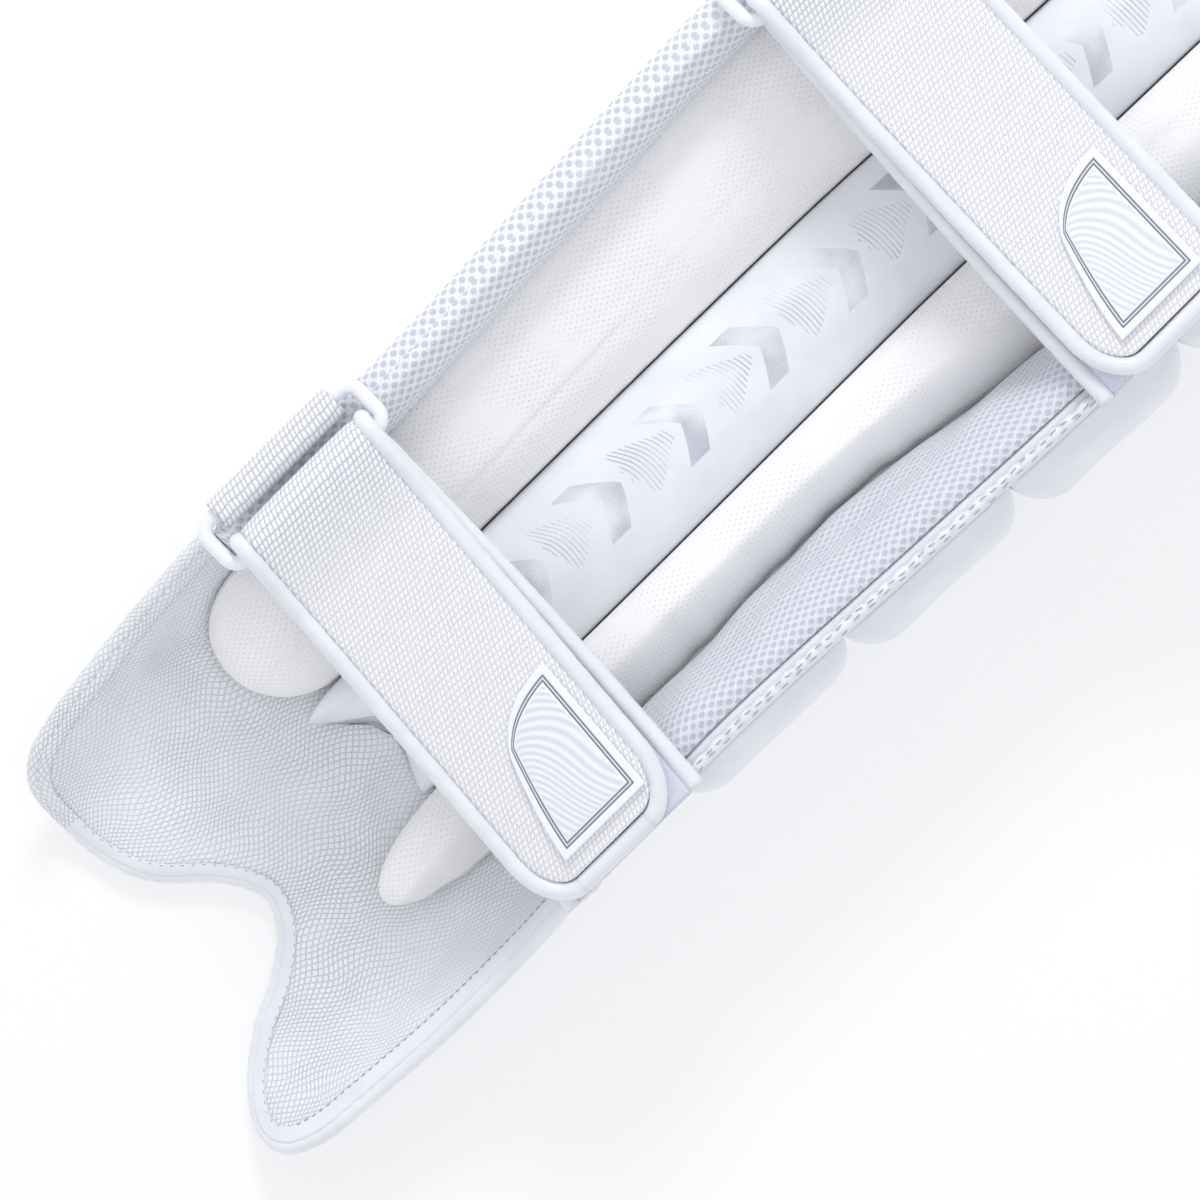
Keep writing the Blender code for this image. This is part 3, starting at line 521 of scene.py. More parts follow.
def brushed_knit():
    """A matt brushed knit with rows of small vents, painted darker as shade in the holes, and a soft nap."""
    material, tree, cloth = start_material("brushed_knit")
    nap = node(tree, "ShaderNodeTexNoise", {
        "Vector": scaled(tree, cloth, *NAP_MM), "Scale": 1.0, "Detail": 4.0, "Roughness": 0.7})
    beside_vent = node(tree, "ShaderNodeMapRange", {
        "Value": staggered_cells(tree, cloth, *VENT_MM), "From Min": 0.07, "From Max": 0.20,
    }, interpolation_type="SMOOTHSTEP")
    patches = node(tree, "ShaderNodeTexNoise", {
        "Vector": scaled(tree, cloth, VENT_PATCH_MM, VENT_PATCH_MM), "Scale": 1.0})
    closed = node(tree, "ShaderNodeMapRange", {
        "Value": patches, "From Min": 0.42, "From Max": 0.66}, interpolation_type="SMOOTHSTEP")
    vents = node(tree, "ShaderNodeMath", {0: beside_vent, 1: closed}, operation="MAXIMUM")
    height = node(tree, "ShaderNodeMath", {0: nap, 1: 0.8, 2: vents}, operation="MULTIPLY_ADD")
    lit = node(tree, "ShaderNodeMapRange", {
        "Value": nap, "From Min": 0.3, "From Max": 0.7}, interpolation_type="SMOOTHSTEP")
    cover = node(tree, "ShaderNodeMix", {
        0: lit, 6: linear("#F8F8F7"), 7: linear("#FFFFFE")}, data_type="RGBA")
    # Painted shade: the vents take a darker colour, as shade inside the small holes.
    finish_shader(tree, height, KNIT_RELIEF, {
        "Base Color": node(tree, "ShaderNodeMix", {
            0: vents, 6: linear("#EDEDEB"), 7: cover}, data_type="RGBA"),
        "Roughness": 0.92, "Sheen Weight": 0.25, "Sheen Roughness": 0.5, "Specular IOR Level": 0.2,
    })
    return material


knit_cloth = brushed_knit()
print("knit nodes:", len(knit_cloth.node_tree.nodes))

# %% Air mesh
HOLE_MM = (4.6, 5.4)
SELVEDGE_HOLE_MM = (2.6, 3.4)
SELVEDGE = 0.011
MESH_WEAR_MM = 30.0
MESH_RELIEF = 0.00032


def air_mesh(name, selvedge, hole_shade, dark_yarn, light_yarn):
    """Spacer mesh with oval holes painted darker, as shade on the layer they show, and small holes along a
    selvedge.
    """
    material, tree, cloth = start_material(name)
    holes = node(tree, "ShaderNodeMapRange", {
        "Value": staggered_cells(tree, cloth, *HOLE_MM), "From Min": 0.13, "From Max": 0.34,
    }, interpolation_type="SMOOTHSTEP")
    threads = node(tree, "ShaderNodeTexWave", {
        "Vector": scaled(tree, cloth, 1.0, 1.0), "Scale": 0.30, "Distortion": 3.0, "Detail": 2.0,
    }, bands_direction="DIAGONAL").outputs["Fac"]
    wear = node(tree, "ShaderNodeTexNoise", {
        "Vector": scaled(tree, cloth, MESH_WEAR_MM, MESH_WEAR_MM), "Scale": 1.0})
    closed = node(tree, "ShaderNodeMapRange", {
        "Value": wear, "From Min": 0.55, "From Max": 0.9, "To Min": 0.0, "To Max": 0.8,
    }, interpolation_type="SMOOTHSTEP")
    holes = node(tree, "ShaderNodeMath", {0: holes, 1: closed}, operation="MAXIMUM")
    if selvedge:
        small = node(tree, "ShaderNodeMapRange", {
            "Value": staggered_cells(tree, cloth, *SELVEDGE_HOLE_MM), "From Min": 0.16, "From Max": 0.26,
        }, interpolation_type="SMOOTHSTEP")
        at_edge = node(tree, "ShaderNodeMapRange", {
            "Value": node(tree, "ShaderNodeSeparateXYZ", {0: cloth}).outputs["X"],
            "From Min": SELVEDGE * 0.9, "From Max": SELVEDGE * 1.1, "To Min": 1.0, "To Max": 0.0,
        }, interpolation_type="SMOOTHSTEP")
        holes = node(tree, "ShaderNodeMix", {0: at_edge, 2: holes, 3: small})
    height = node(tree, "ShaderNodeMath", {0: threads, 1: 0.22, 2: holes}, operation="MULTIPLY_ADD")
    yarn = node(tree, "ShaderNodeMix", {
        0: threads, 6: linear(dark_yarn), 7: linear(light_yarn)}, data_type="RGBA")
    # Painted shade: the holes take the darker hole colour, as shade on the layer beneath.
    finish_shader(tree, height, MESH_RELIEF, {
        "Base Color": node(tree, "ShaderNodeMix", {0: holes, 6: linear(hole_shade), 7: yarn}, data_type="RGBA"),
        "Roughness": 0.85, "Sheen Weight": 0.15, "Sheen Roughness": 0.5, "Specular IOR Level": 0.25,
    })
    return material


wing_mesh = air_mesh("air_mesh", False, "#CDD1DC", "#ECEEF4", "#F6F7FB")
# The right wing's copy is darker in every colour than the left wing's: painted shade on the wing that faces
# away from the key lamp.
shaded_selvedge_mesh = air_mesh("shaded_air_mesh_with_selvedge", True, "#C6CAD6", "#E0E2E9", "#E9EBF1")
print("mesh nodes:", len(wing_mesh.node_tree.nodes), len(shaded_selvedge_mesh.node_tree.nodes))

# %% Webbing
RIB_MM = 2.3
PICK_MM = 2.0
PICK_SLANT = 0.45
WANDER_MM = (7.0, 9.0)
WANDER_CELLS = 0.6
FIBRE_MM = (0.5, 1.6)
WEBBING_RELIEF = 0.00044


def webbing(name, fold_shade_near, fold_shade_far):
    """Coarse webbing: ribs across the band, each broken into picks, with painted shade in the dips that is
    greyer near the fold.
    """
    material, tree, cloth = start_material(name)
    wander = node(tree, "ShaderNodeTexNoise", {
        "Vector": scaled(tree, cloth, *WANDER_MM), "Scale": 1.0, "Detail": 2.0})
    woven = node(tree, "ShaderNodeVectorMath", {
        0: wander.outputs["Color"], 1: (WANDER_CELLS, WANDER_CELLS, 0.0),
        2: scaled(tree, cloth, PICK_MM, RIB_MM)}, operation="MULTIPLY_ADD")
    split = node(tree, "ShaderNodeSeparateXYZ", {0: woven})
    pick, rib = split.outputs["X"], split.outputs["Y"]
    rib_number = node(tree, "ShaderNodeMath", {0: rib}, operation="FLOOR")
    half_step = node(tree, "ShaderNodeMath", {0: rib_number, 1: 0.5}, operation="MULTIPLY")
    rib_part = node(tree, "ShaderNodeMath", {0: rib}, operation="FRACT")
    rib_turn = node(tree, "ShaderNodeMath", {0: rib_part, 1: math.pi}, operation="MULTIPLY")
    rib_rise = node(tree, "ShaderNodeMath", {0: rib_turn}, operation="SINE")
    slanted = node(tree, "ShaderNodeMath", {0: rib_part, 1: PICK_SLANT, 2: pick}, operation="MULTIPLY_ADD")
    stepped = node(tree, "ShaderNodeMath", {0: slanted, 1: half_step}, operation="ADD")
    pick_part = node(tree, "ShaderNodeMath", {0: stepped}, operation="FRACT")
    pick_turn = node(tree, "ShaderNodeMath", {0: pick_part, 1: math.pi}, operation="MULTIPLY")
    pick_rise = node(tree, "ShaderNodeMath", {0: pick_turn}, operation="SINE")
    raised = node(tree, "ShaderNodeMath", {0: rib_rise, 1: pick_rise}, operation="MULTIPLY")
    weave = node(tree, "ShaderNodeMath", {0: raised, 1: 0.6}, operation="POWER")
    fibres = node(tree, "ShaderNodeTexNoise", {
        "Vector": scaled(tree, cloth, *FIBRE_MM), "Scale": 1.0, "Detail": 3.0})
    height = node(tree, "ShaderNodeMath", {0: fibres, 1: 0.2, 2: weave}, operation="MULTIPLY_ADD")
    along = node(tree, "ShaderNodeSeparateXYZ", {0: cloth}).outputs["Y"]
    from_fold = node(tree, "ShaderNodeMath", {0: along}, operation="ABSOLUTE")
    far = node(tree, "ShaderNodeMapRange", {
        "Value": from_fold, "From Min": fold_shade_near, "From Max": fold_shade_far}, interpolation_type="SMOOTHSTEP")
    # Painted shade and highlight: the weave's dips are darker, darker still near the fold where the strap
    # turns under, and the raised picks are lighter.
    dips = node(tree, "ShaderNodeMix", {
        0: far, 6: linear("#CDD0D8"), 7: linear("#EDEEF2")}, data_type="RGBA")
    tops = node(tree, "ShaderNodeMapRange", {
        "Value": weave, "From Min": 0.1, "From Max": 0.75}, interpolation_type="SMOOTHSTEP")
    finish_shader(tree, height, WEBBING_RELIEF, {
        "Base Color": node(tree, "ShaderNodeMix", {
            0: tops, 6: dips, 7: linear("#FAFAFC")}, data_type="RGBA"),
        "Roughness": 0.8, "Sheen Weight": 0.1, "Specular IOR Level": 0.3,
    })
    return material


strap_webbing = webbing("strap_webbing", fold_shade_near=0.006, fold_shade_far=0.045)
# The tab's cloth stays within 0.5 m of its fold, so all of its dips keep the full painted shade.
tab_webbing = webbing("tab_webbing", fold_shade_near=0.5, fold_shade_far=0.6)
print("webbing nodes:", len(strap_webbing.node_tree.nodes))

# %% Loop pile and thread
PILE_MM = 0.8
THREAD_MM = 0.3


def fuzzy_cloth(name, size_mm, relief, dark, light):
    """A soft finish with no weave to see: the strap's loop pile, or a sewing thread."""
    material, tree, cloth = start_material(name)
    fuzz = node(tree, "ShaderNodeTexNoise", {
        "Vector": scaled(tree, cloth, size_mm, size_mm), "Scale": 1.0, "Detail": 4.0, "Roughness": 0.7})
    lit = node(tree, "ShaderNodeMapRange", {
        "Value": fuzz, "From Min": 0.3, "From Max": 0.7}, interpolation_type="SMOOTHSTEP")
    finish_shader(tree, fuzz, relief, {
        "Base Color": node(tree, "ShaderNodeMix", {
            0: lit, 6: linear(dark), 7: linear(light)}, data_type="RGBA"),
        "Roughness": 0.95, "Sheen Weight": 0.3, "Sheen Roughness": 0.5, "Specular IOR Level": 0.15,
    })
    return material


loop_pile = fuzzy_cloth("strap_loop_pile", PILE_MM, relief=0.00025, dark="#D3D6E4", light="#E8EAF4")
grey_thread = fuzzy_cloth("grey_sewing_thread", THREAD_MM, relief=0.00003, dark="#8E939F", light="#B2B6C0")
print("pile and thread:", loop_pile.name, grey_thread.name)

# %% [markdown]
# ## The front shell and the foot flap
# Both are foam board between two skins of leather. In the solid they are plain walls; in cloth
# they are softly uneven, with rounded rims. A wall here is a flat ring, over the leg side, round
# the rim and back over the front, repeated along the guard. The flap's liner also has a band of
# smooth leather sewn along its right edge, held by a running stitch with 3.6 mm to each step.

# %% Walls
def wall_ring(cells, rim_cells):
    """Places round a wall's section: share across, share through the thickness and the rim's roundness."""
    face = np.linspace(0, 1, cells + 1)
    turn = np.linspace(0, math.pi, rim_cells + 2)[1:-1]
    across = np.concatenate([face, np.ones(rim_cells), face[::-1], np.zeros(rim_cells)])
    through = np.concatenate([
        np.zeros(cells + 1), (1 - np.cos(turn)) / 2, np.ones(cells + 1), (1 + np.cos(turn)) / 2])
    bulge = np.concatenate([
        np.zeros(cells + 1), np.sin(turn), np.zeros(cells + 1), -np.sin(turn)])
    return across, through, bulge


RIM_CELLS = 6
RIM_ROUND = 0.0010
END_PINCH = 0.18
DENT_SIZE = 0.055


def add_wall(name, place, wall, cells, material, unevenness, droop, seed):
    """A padded wall between two skins, softly uneven on both."""
    across, through, bulge = (item[None, :] for item in wall_ring(cells[0], RIM_CELLS))
    along = np.linspace(0, 1, cells[1] + 1)[:, None]
    around, y, height = place(across + 0 * along, along + 0 * across, -wall * through)
    around = around - (2 * across - 1) * RIM_ROUND * (1 - np.abs(bulge))
    near_end = np.minimum(along, 1 - along) * cells[1] / 5
    pinch = 1 - END_PINCH * np.clip(1 - near_end, 0, 1) ** 2
    height = -wall / 2 + (height + wall / 2) * pinch
    inside = np.clip(4 * across * (1 - across), 0, 1)
    dents = unevenness * soft_noise(around, y, DENT_SIZE, seed) * pinch * inside
    height = height - np.abs(dents) * np.sign(height + wall / 2)
    places = on_wall(around, y, height, droop)
    cloth = np.stack([around + 0 * y, y + 0 * around], axis=-1)
    cloth = np.concatenate([cloth, cloth[:, :1]], axis=1)
    return add_rows(name, places, cloth, material, ladder=2 * (cells[0] + 1) + RIM_CELLS + RIM_CELLS // 2)


front_shell = add_wall(
    "padded_front_shell", shell_place, SHELL_WALL, (90, 120), white_leather,
    unevenness=0.0006, droop=False, seed=3)
declare(front_shell, "front_shell")

# %% [markdown]
# The flap's free end is two lobes with an arch between them. Each row of the outline is a share
# of the width around the guard and a share of the flap's reach, from its left edge to its right.

# %% The flap's outline
FLAP_OUTLINE = np.array((
    (-1.00, 0.60), (-0.96, 0.715), (-0.86, 0.775), (-0.70, 0.790), (-0.50, 0.784), (-0.30, 0.735),
    (-0.12, 0.625), (0.02, 0.565), (0.14, 0.550), (0.28, 0.595), (0.41, 0.700), (0.52, 0.835),
    (0.66, 0.945), (0.80, 0.995), (0.92, 0.975), (0.985, 0.890), (1.00, 0.760),
))


def flap_edge(share):
    """Places of the flap's free end, as distance around the wall and along the guard."""
    keys = np.linspace(0, 1, len(FLAP_OUTLINE))
    y = -FLAP_START - smooth_value(keys, FLAP_OUTLINE[:, 1], share) * FLAP_REACH
    return smooth_value(keys, FLAP_OUTLINE[:, 0], share) * (wing_end(y) - 2 * WELT_RADIUS), y


def flap_place(share, down):
    """Places on the flap, from the join at its top down to its free end."""
    top = -FLAP_START - CLEARANCE / 2
    end_around, end_y = flap_edge(share)
    start = (2 * share - 1) * (wing_end(np.asarray(top)) - 2 * WELT_RADIUS)
    return start + (end_around - start) * down, top + (end_y - top) * down


def flap_wall(share_across, share_along, height):
    """Places of the flap's wall for add_wall."""
    around, y = flap_place(share_across, 1 - share_along)
    return around, y, height


instep_flap = add_wall(
    "embossed_instep_flap", flap_wall, FLAP_WALL, (150, 84), liner_leather,
    unevenness=0.0009, droop=True, seed=8)
declare(instep_flap, "instep_flap")
print("wall faces:", len(front_shell.data.polygons), len(instep_flap.data.polygons))

# %% [markdown]
# ## Tubes: welt, bindings and pipings
# Every raw edge of the guard is finished with leather rolled over a cord. A curve with a bevel
# would give a perfect pipe. A tube swept in code can also vary: small gathers where the leather
# goes round a tight bend, and a slow change in thickness.

# %% Sweep a tube
STEEPEST_SIDE = 0.2


def swept(path, radius, ring_cells, loop=False, up=(0.0, 0.0, 1.0)):
    """Rings of a tube along a path. Radius may change along the rows and round the ring."""
    path = np.asarray(path, float)
    if loop:
        tangent = np.roll(path, -1, axis=0) - np.roll(path, 1, axis=0)
    else:
        tangent = np.gradient(path, axis=0)
    tangent /= np.linalg.norm(tangent, axis=1)[:, None]
    side = np.cross(tangent, np.asarray(up))
    for n in range(len(side)):
        if np.linalg.norm(side[n]) < STEEPEST_SIDE:
            side[n] = side[n - 1]
    side -= tangent * (side * tangent).sum(axis=1)[:, None]
    side /= np.linalg.norm(side, axis=1)[:, None]
    for n in range(1, len(side)):
        if (side[n] * side[n - 1]).sum() < 0:
            side[n] = -side[n]
    lift = np.cross(side, tangent)
    turn = np.linspace(0, 2 * math.pi, ring_cells, endpoint=False)[None, :, None]
    radius = np.broadcast_to(np.asarray(radius, float), (len(path), ring_cells))[:, :, None]
    return path[:, None] + radius * (
        np.cos(turn) * side[:, None] + np.sin(turn) * lift[:, None])


CORD_EVEN = 0.985
CORD_CHANGE = 0.012
CORD_CHANGE_SIZE = 0.03


def add_tube(name, path, radius, material, slot, stands_for, cells=16, gathers=0.0, pitch=0.006, **shape):
    """A rolled edge along a path, with gathers of a given depth and pitch."""
    path = np.asarray(path, float)
    steps = np.linalg.norm(np.diff(path, axis=0), axis=1)
    along = np.concatenate([[0.0], np.cumsum(steps)])[:, None]
    turn = np.linspace(0, 2 * math.pi, cells, endpoint=False)[None, :]
    wander = 1.3 * np.sin(turn) + 2.0 * soft_noise(along, 0 * along, 0.04, 5)
    folds = np.sin(2 * math.pi * along / pitch + wander)
    change = CORD_CHANGE * soft_noise(along, turn * 0.002, CORD_CHANGE_SIZE, 11)
    varied = radius * (CORD_EVEN + change) - gathers * (1 + folds) / 2
    places = swept(path, varied, cells, **shape)
    return declare(add_rows(name, places, ring_cloth(places), material), stands_for)


# %% Welt round the flap
def flap_border(steps_side, steps_end):
    """The flap's free border, down its left side, round the lobes and up its right."""
    sides = np.linspace(0, 1, steps_side + 1)
    left = np.stack(flap_place(np.zeros(steps_side), sides[:-1]), axis=1)
    end = np.stack(flap_edge(np.linspace(0, 1, steps_end + 1)), axis=1)
    right = np.stack(flap_place(np.ones(steps_side), 1 - sides[1:]), axis=1)
    return np.concatenate([left, end, right])


def beside_border(step_out, steps_side=60, steps_end=260):
    """A line at a distance outside the flap's border, or inside where it is negative."""
    border = flap_border(steps_side, steps_end)
    along = np.gradient(border, axis=0)
    along /= np.linalg.norm(along, axis=1)[:, None]
    kernel = np.ones(9) / 9
    padded = np.pad(along, ((4, 4), (0, 0)), mode="edge")
    along = np.stack([np.convolve(padded[:, n], kernel, "valid") for n in range(2)], axis=1)
    line = border + np.reshape(step_out, (-1, 1)) * np.stack([along[:, 1], -along[:, 0]], axis=1)
    line[:, 1] = np.minimum(line[:, 1], -FLAP_START - 2 * BEND_CLEARANCE)
    return line


WELT_CELLS = 20
welt_line = beside_border(WELT_RADIUS + BEND_CLEARANCE * 0.2)
flap_welt = add_tube(
    "rolled_flap_welt", on_wall(welt_line[:, 0], welt_line[:, 1], -FLAP_WALL / 2, True),
    WELT_RADIUS, piping_leather, "binding", "flap_welt", cells=WELT_CELLS, gathers=0.00025, pitch=0.007)

# %% [markdown]
# ### Seam band and stitches of the flap
# Beside the welt the cover is folded under and held by a row of stitches: in the liner round the
# left lobe and in smooth leather from the arch on. A stitch could be a normal map, but short
# threads that dip at both ends catch the light on the right side from every angle.

# %% Liner wrapped over the welt, and the stitched band beside it
WRAPPED_ROWS = 112
ARCH_ROWS = 290
BORDER_ROWS = 381
BAND_REACH = 0.0036
BAND_INNER_ROWS = (0, 150, 250, 300, 380)
BAND_INNER_REACH = (-0.0012, -0.0010, -0.0014, -0.0034, -0.0034)
BAND_INNER = np.interp(np.arange(BORDER_ROWS), BAND_INNER_ROWS, BAND_INNER_REACH)
BAND_RISE = 0.0004
BAND_FALL = 0.0014
BAND_THICKNESS = 0.0014
STITCH_INSET = 0.0006
STITCH_RISE = 0.0001
THREAD_STEPS = 4
THREAD_SIDES = 6


def wrap_in_liner(piece, rows, ring):
    """Gives the first rows of a welt or band the liner in place of the smooth leather."""
    piece.data.materials.append(liner_leather)
    layer = np.zeros(len(piece.data.polygons), np.int32)
    layer[:rows * ring] = 1
    piece.data.polygons.foreach_set("material_index", layer)


def add_stitches(name, path, pitch, length, radius):
    """A row of running stitches, each a short thread that dips into the cloth at both ends."""
    steps = np.linalg.norm(np.diff(path, axis=0), axis=1)
    along = np.concatenate([[0.0], np.cumsum(steps)])
    share = np.linspace(-0.5, 0.5, THREAD_STEPS + 1)
    places = np.arange(pitch, along[-1] - pitch, pitch)[:, None] + length * share[None, :]
    middle = np.stack([np.interp(places, along, path[:, n]) for n in range(3)], axis=-1)
    middle[..., 2] -= radius * (2 * share) ** 4
    ahead = middle[:, -1] - middle[:, 0]
    ahead /= np.linalg.norm(ahead, axis=1)[:, None]
    side = np.cross(ahead, (0.0, 0.0, 1.0))
    side /= np.linalg.norm(side, axis=1)[:, None]
    lift = np.cross(side, ahead)
    turn = np.linspace(0, 2 * math.pi, THREAD_SIDES, endpoint=False)[None, None, :, None]
    thick = (radius * (1 - 0.6 * (2 * share) ** 4))[None, :, None, None]
    points = middle[:, :, None] + thick * (
        np.cos(turn) * side[:, None, None] + np.sin(turn) * lift[:, None, None])
    count = (THREAD_STEPS + 1) * THREAD_SIDES
    one = []
    for i in range(THREAD_STEPS):
        for j in range(THREAD_SIDES):
            a, b = i * THREAD_SIDES + j, i * THREAD_SIDES + (j + 1) % THREAD_SIDES
            one.append([a, b, b + THREAD_SIDES, a + THREAD_SIDES])
    one += [list(range(THREAD_SIDES))[::-1], list(range(count - THREAD_SIDES, count))]
    faces = [[count * n + corner for corner in face] for n in range(len(middle)) for face in one]
    points = points.reshape(-1, 3)
    corners = np.array([points[corner][:2] for face in faces for corner in face])
    return declare(add_mesh(name, points, faces, corners, grey_thread))


wrap_in_liner(flap_welt, WRAPPED_ROWS, WELT_CELLS)
out = np.linspace(0, 1, 9)
band_lines = np.stack([beside_border(BAND_INNER * (1 - part) + BAND_REACH * part) for part in out], axis=1)
band_lines = np.concatenate([band_lines, band_lines[:, ::-1]], axis=1)
band_heights = BAND_RISE - BAND_FALL * out**2
band_heights = np.concatenate([band_heights, band_heights[::-1] - BAND_THICKNESS])[None, :]
band_places = on_wall(band_lines[..., 0], band_lines[..., 1], band_heights, True)
seam_band = add_rows("flap_seam_band", band_places, ring_cloth(band_places), piping_leather)
wrap_in_liner(declare(seam_band), WRAPPED_ROWS, 2 * len(out))
stitch_line = beside_border(BAND_INNER + STITCH_INSET)
stitch_line = on_wall(stitch_line[:, 0], stitch_line[:, 1], BAND_RISE + STITCH_RISE, True)
add_stitches(
    "flap_arch_stitch", stitch_line[WRAPPED_ROWS:ARCH_ROWS], pitch=0.0042, length=0.0014, radius=0.00013)
running_stitch = add_stitches(
    "flap_running_stitch", stitch_line[ARCH_ROWS:], pitch=0.0036, length=0.0021, radius=0.00028)
print("running stitch faces:", len(running_stitch.data.polygons))

# %% [markdown]
# ### Bindings
# The right wing's rim and the top edge are bound with a narrow leather tube. The wing's binding
# is gathered by the two stitch rows that hold it, so its tube has deep uneven folds.

# %% Bindings of the right wing and the top
WING_TOP = GUARD_LENGTH / 2 - 0.028
rim_y = np.linspace(-FLAP_START + BINDING_RADIUS, GUARD_LENGTH / 2 - 2 * BINDING_RADIUS, 260)
rim_line = on_wall(wing_end(rim_y) + BINDING_RADIUS + BEND_CLEARANCE, rim_y, -SHELL_WALL / 2)
right_binding = add_tube(
    "right_wing_binding", rim_line, BINDING_RADIUS, piping_leather, "binding", "right_binding",
    gathers=0.0010, pitch=0.0073)
WING_STITCH_ROWS = ((0.0013, 0.0052), (-0.0009, 0.0075))
STITCH_WANDER = 0.0008
STITCH_WANDER_SIZE = 0.018
STITCHED_FROM = -FLAP_START + 0.010
STITCHED_TO = WING_TOP - 0.012
seam_y = np.linspace(STITCHED_FROM, STITCHED_TO, 420)
for row, (aside, pitch) in enumerate(WING_STITCH_ROWS):
    aside = aside + STITCH_WANDER * soft_noise(seam_y, 0 * seam_y, STITCH_WANDER_SIZE, 140 + row)
    over = BINDING_RADIUS + BEND_CLEARANCE + np.sqrt(BINDING_RADIUS**2 - aside**2)
    add_stitches(
        f"right_wing_stitch_row_{row + 1}",
        on_wall(wing_end(seam_y) + over, seam_y, aside - SHELL_WALL / 2),
        pitch, length=0.0034, radius=0.00021)
top_y = GUARD_LENGTH / 2 - BINDING_RADIUS
top_around = np.linspace(-arc_end(np.asarray(top_y)), wing_end(np.asarray(top_y)), 160)
top_binding = add_tube(
    "top_edge_binding", on_wall(top_around, top_y, -SHELL_WALL / 2), BINDING_RADIUS,
    piping_leather, "binding", "top_binding", gathers=0.0002)
print("binding faces:", len(right_binding.data.polygons), len(top_binding.data.polygons))

# %% [markdown]
# ## Bolsters, centre panel and wings
# A stuffed pad is widest and highest in its middle and is drawn in at its seams and ends. Its
# section is a flattened crown, its ends are rounded, and the cover puckers along the seams,
# where the cloth is eased on to a shorter edge. The crown and the ends are the ones of the
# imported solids. Puckers, dents and the gathered foot of the centre panel are added here.

# %% A pad's ring and its fullness
PAD_TOP = GUARD_LENGTH / 2 - 0.058
PAD_TOP_ROUND = 0.030
LEAST_RISE = 0.03
SIDE_HEIGHT = 0.30
CROWN_POWER = 2.6


def pad_ring(top_cells, side_cells, under_cells):
    """Places round a pad's section: share across from -1 to 1, and 1 on the top and 0 underneath."""
    over = np.sin(np.linspace(-math.pi / 2, math.pi / 2, top_cells + 1))
    down = np.linspace(1, 0, side_cells + 1)[1:-1]
    under = np.linspace(1, -1, under_cells + 1)
    across = np.concatenate([over, np.ones(side_cells - 1), under, -np.ones(side_cells - 1)])
    up = np.concatenate([np.ones(top_cells + 1), down, np.zeros(under_cells + 1), down[::-1]])
    return across[None, :], up[None, :]


def end_rise(distance, radius):
    """How much of its full height a pad has at a distance from its rounded end."""
    return np.sqrt(1.0 - (1.0 - np.clip(distance / radius, 0.0, 1.0)) ** 2)


def pad_shape(pad, rows, ring):
    """Places, heights and fullness of a pad on the wall."""
    across, up = ring
    share = np.linspace(-1, 1, rows + 1)[:, None]
    share = np.sign(share) * (1 - (1 - np.abs(share)) ** 1.5)
    low = pad["low"] + (pad["foot_rise"](across) if "foot_rise" in pad else 0.0)
    y = low + (pad["high"] - low) * (share + 1) / 2
    rise = end_rise(y - low, pad["low_round"]) * end_rise(pad["high"] - y, pad["high_round"])
    rise = np.maximum(rise, LEAST_RISE)
    left, right = pad["left"](y), pad["right"](y)
    around = (left + right) / 2 + across * (1 - pad.get("end_pull", 1.0) * (1 - rise)) * (right - left) / 2
    edge = pad.get("edge", SIDE_HEIGHT)
    crown = np.sqrt(np.maximum(1 - np.abs(across) ** pad.get("power", CROWN_POWER), 0))
    full = (edge + (1 - edge) * crown) * rise
    top = pad["base"] + pad["depth"] * full
    bottom = pad["base"] + pad.get("under", 0.0) * pad["depth"] * (1 - full)
    height = bottom + (top - bottom) * up
    if "relief" in pad:
        height = height + np.sign(pad["depth"]) * up * rise * pad["relief"](across, y, y - low)
    return around, y, height


# %% [markdown]
# ### Stuffing, by cloth simulation
# Stuffing pushes a cover out between its seams, more where the cloth is wide. The cloth solver
# does the same with pressure inside a closed body whose seams are pinned. It runs on a coarse
# copy, where it takes a second, and its movement, limited to 1.4 mm, is spread over the fine
# shape, so the fine folds stay as drawn.

# %% Press a cover out
COARSE = 4
PRESSURE = 4.0
PRESS_FRAMES = 20
PRESS_LIMIT = 0.0014
COVER_STIFFNESS = 12.0
SEAM_SHARE = 0.96


def pressed_cover(name, pad, rows, cells):
    """How far a pad's cover moves when its stuffing presses on it while its seams are held."""
    across, up = pad_ring(*(count // COARSE for count in cells))
    rest = on_wall(*pad_shape(pad | {"relief": lambda *_: 0.0}, rows // COARSE, (across, up)))
    cover = add_rows(f"{name}_under_pressure", rest, ring_cloth(rest), white_leather)
    held = np.broadcast_to((up < 1) | (np.abs(across) > SEAM_SHARE), rest.shape[:2]).copy()
    held[:2] = held[-2:] = True
    cover.vertex_groups.new(name="seams").add(np.flatnonzero(held.ravel()).tolist(), 1.0, "REPLACE")
    cloth = cover.modifiers.new("cover", "CLOTH")
    cloth.settings.vertex_group_mass = "seams"
    cloth.settings.use_pressure = True
    cloth.settings.uniform_pressure_force = PRESSURE
    cloth.settings.effector_weights.gravity = 0.0
    cloth.settings.tension_stiffness = cloth.settings.compression_stiffness = COVER_STIFFNESS
    cloth.point_cache.frame_start, cloth.point_cache.frame_end = 1, PRESS_FRAMES
    for moment in range(1, PRESS_FRAMES + 1):
        bpy.context.scene.frame_set(moment)
    shown = cover.evaluated_get(bpy.context.evaluated_depsgraph_get()).data
    moved = np.empty(rest.size, np.float32)
    shown.vertices.foreach_get("co", moved)
    bpy.data.objects.remove(cover)
    bpy.context.scene.frame_set(1)
    move = moved.reshape(rest.shape) - rest
    length = np.linalg.norm(move, axis=2, keepdims=True)
    print(f"{name}: cover moved up to {length.max() * 1000:.1f} mm")
    return move * np.minimum(1.0, PRESS_LIMIT / np.maximum(length, 1e-9))


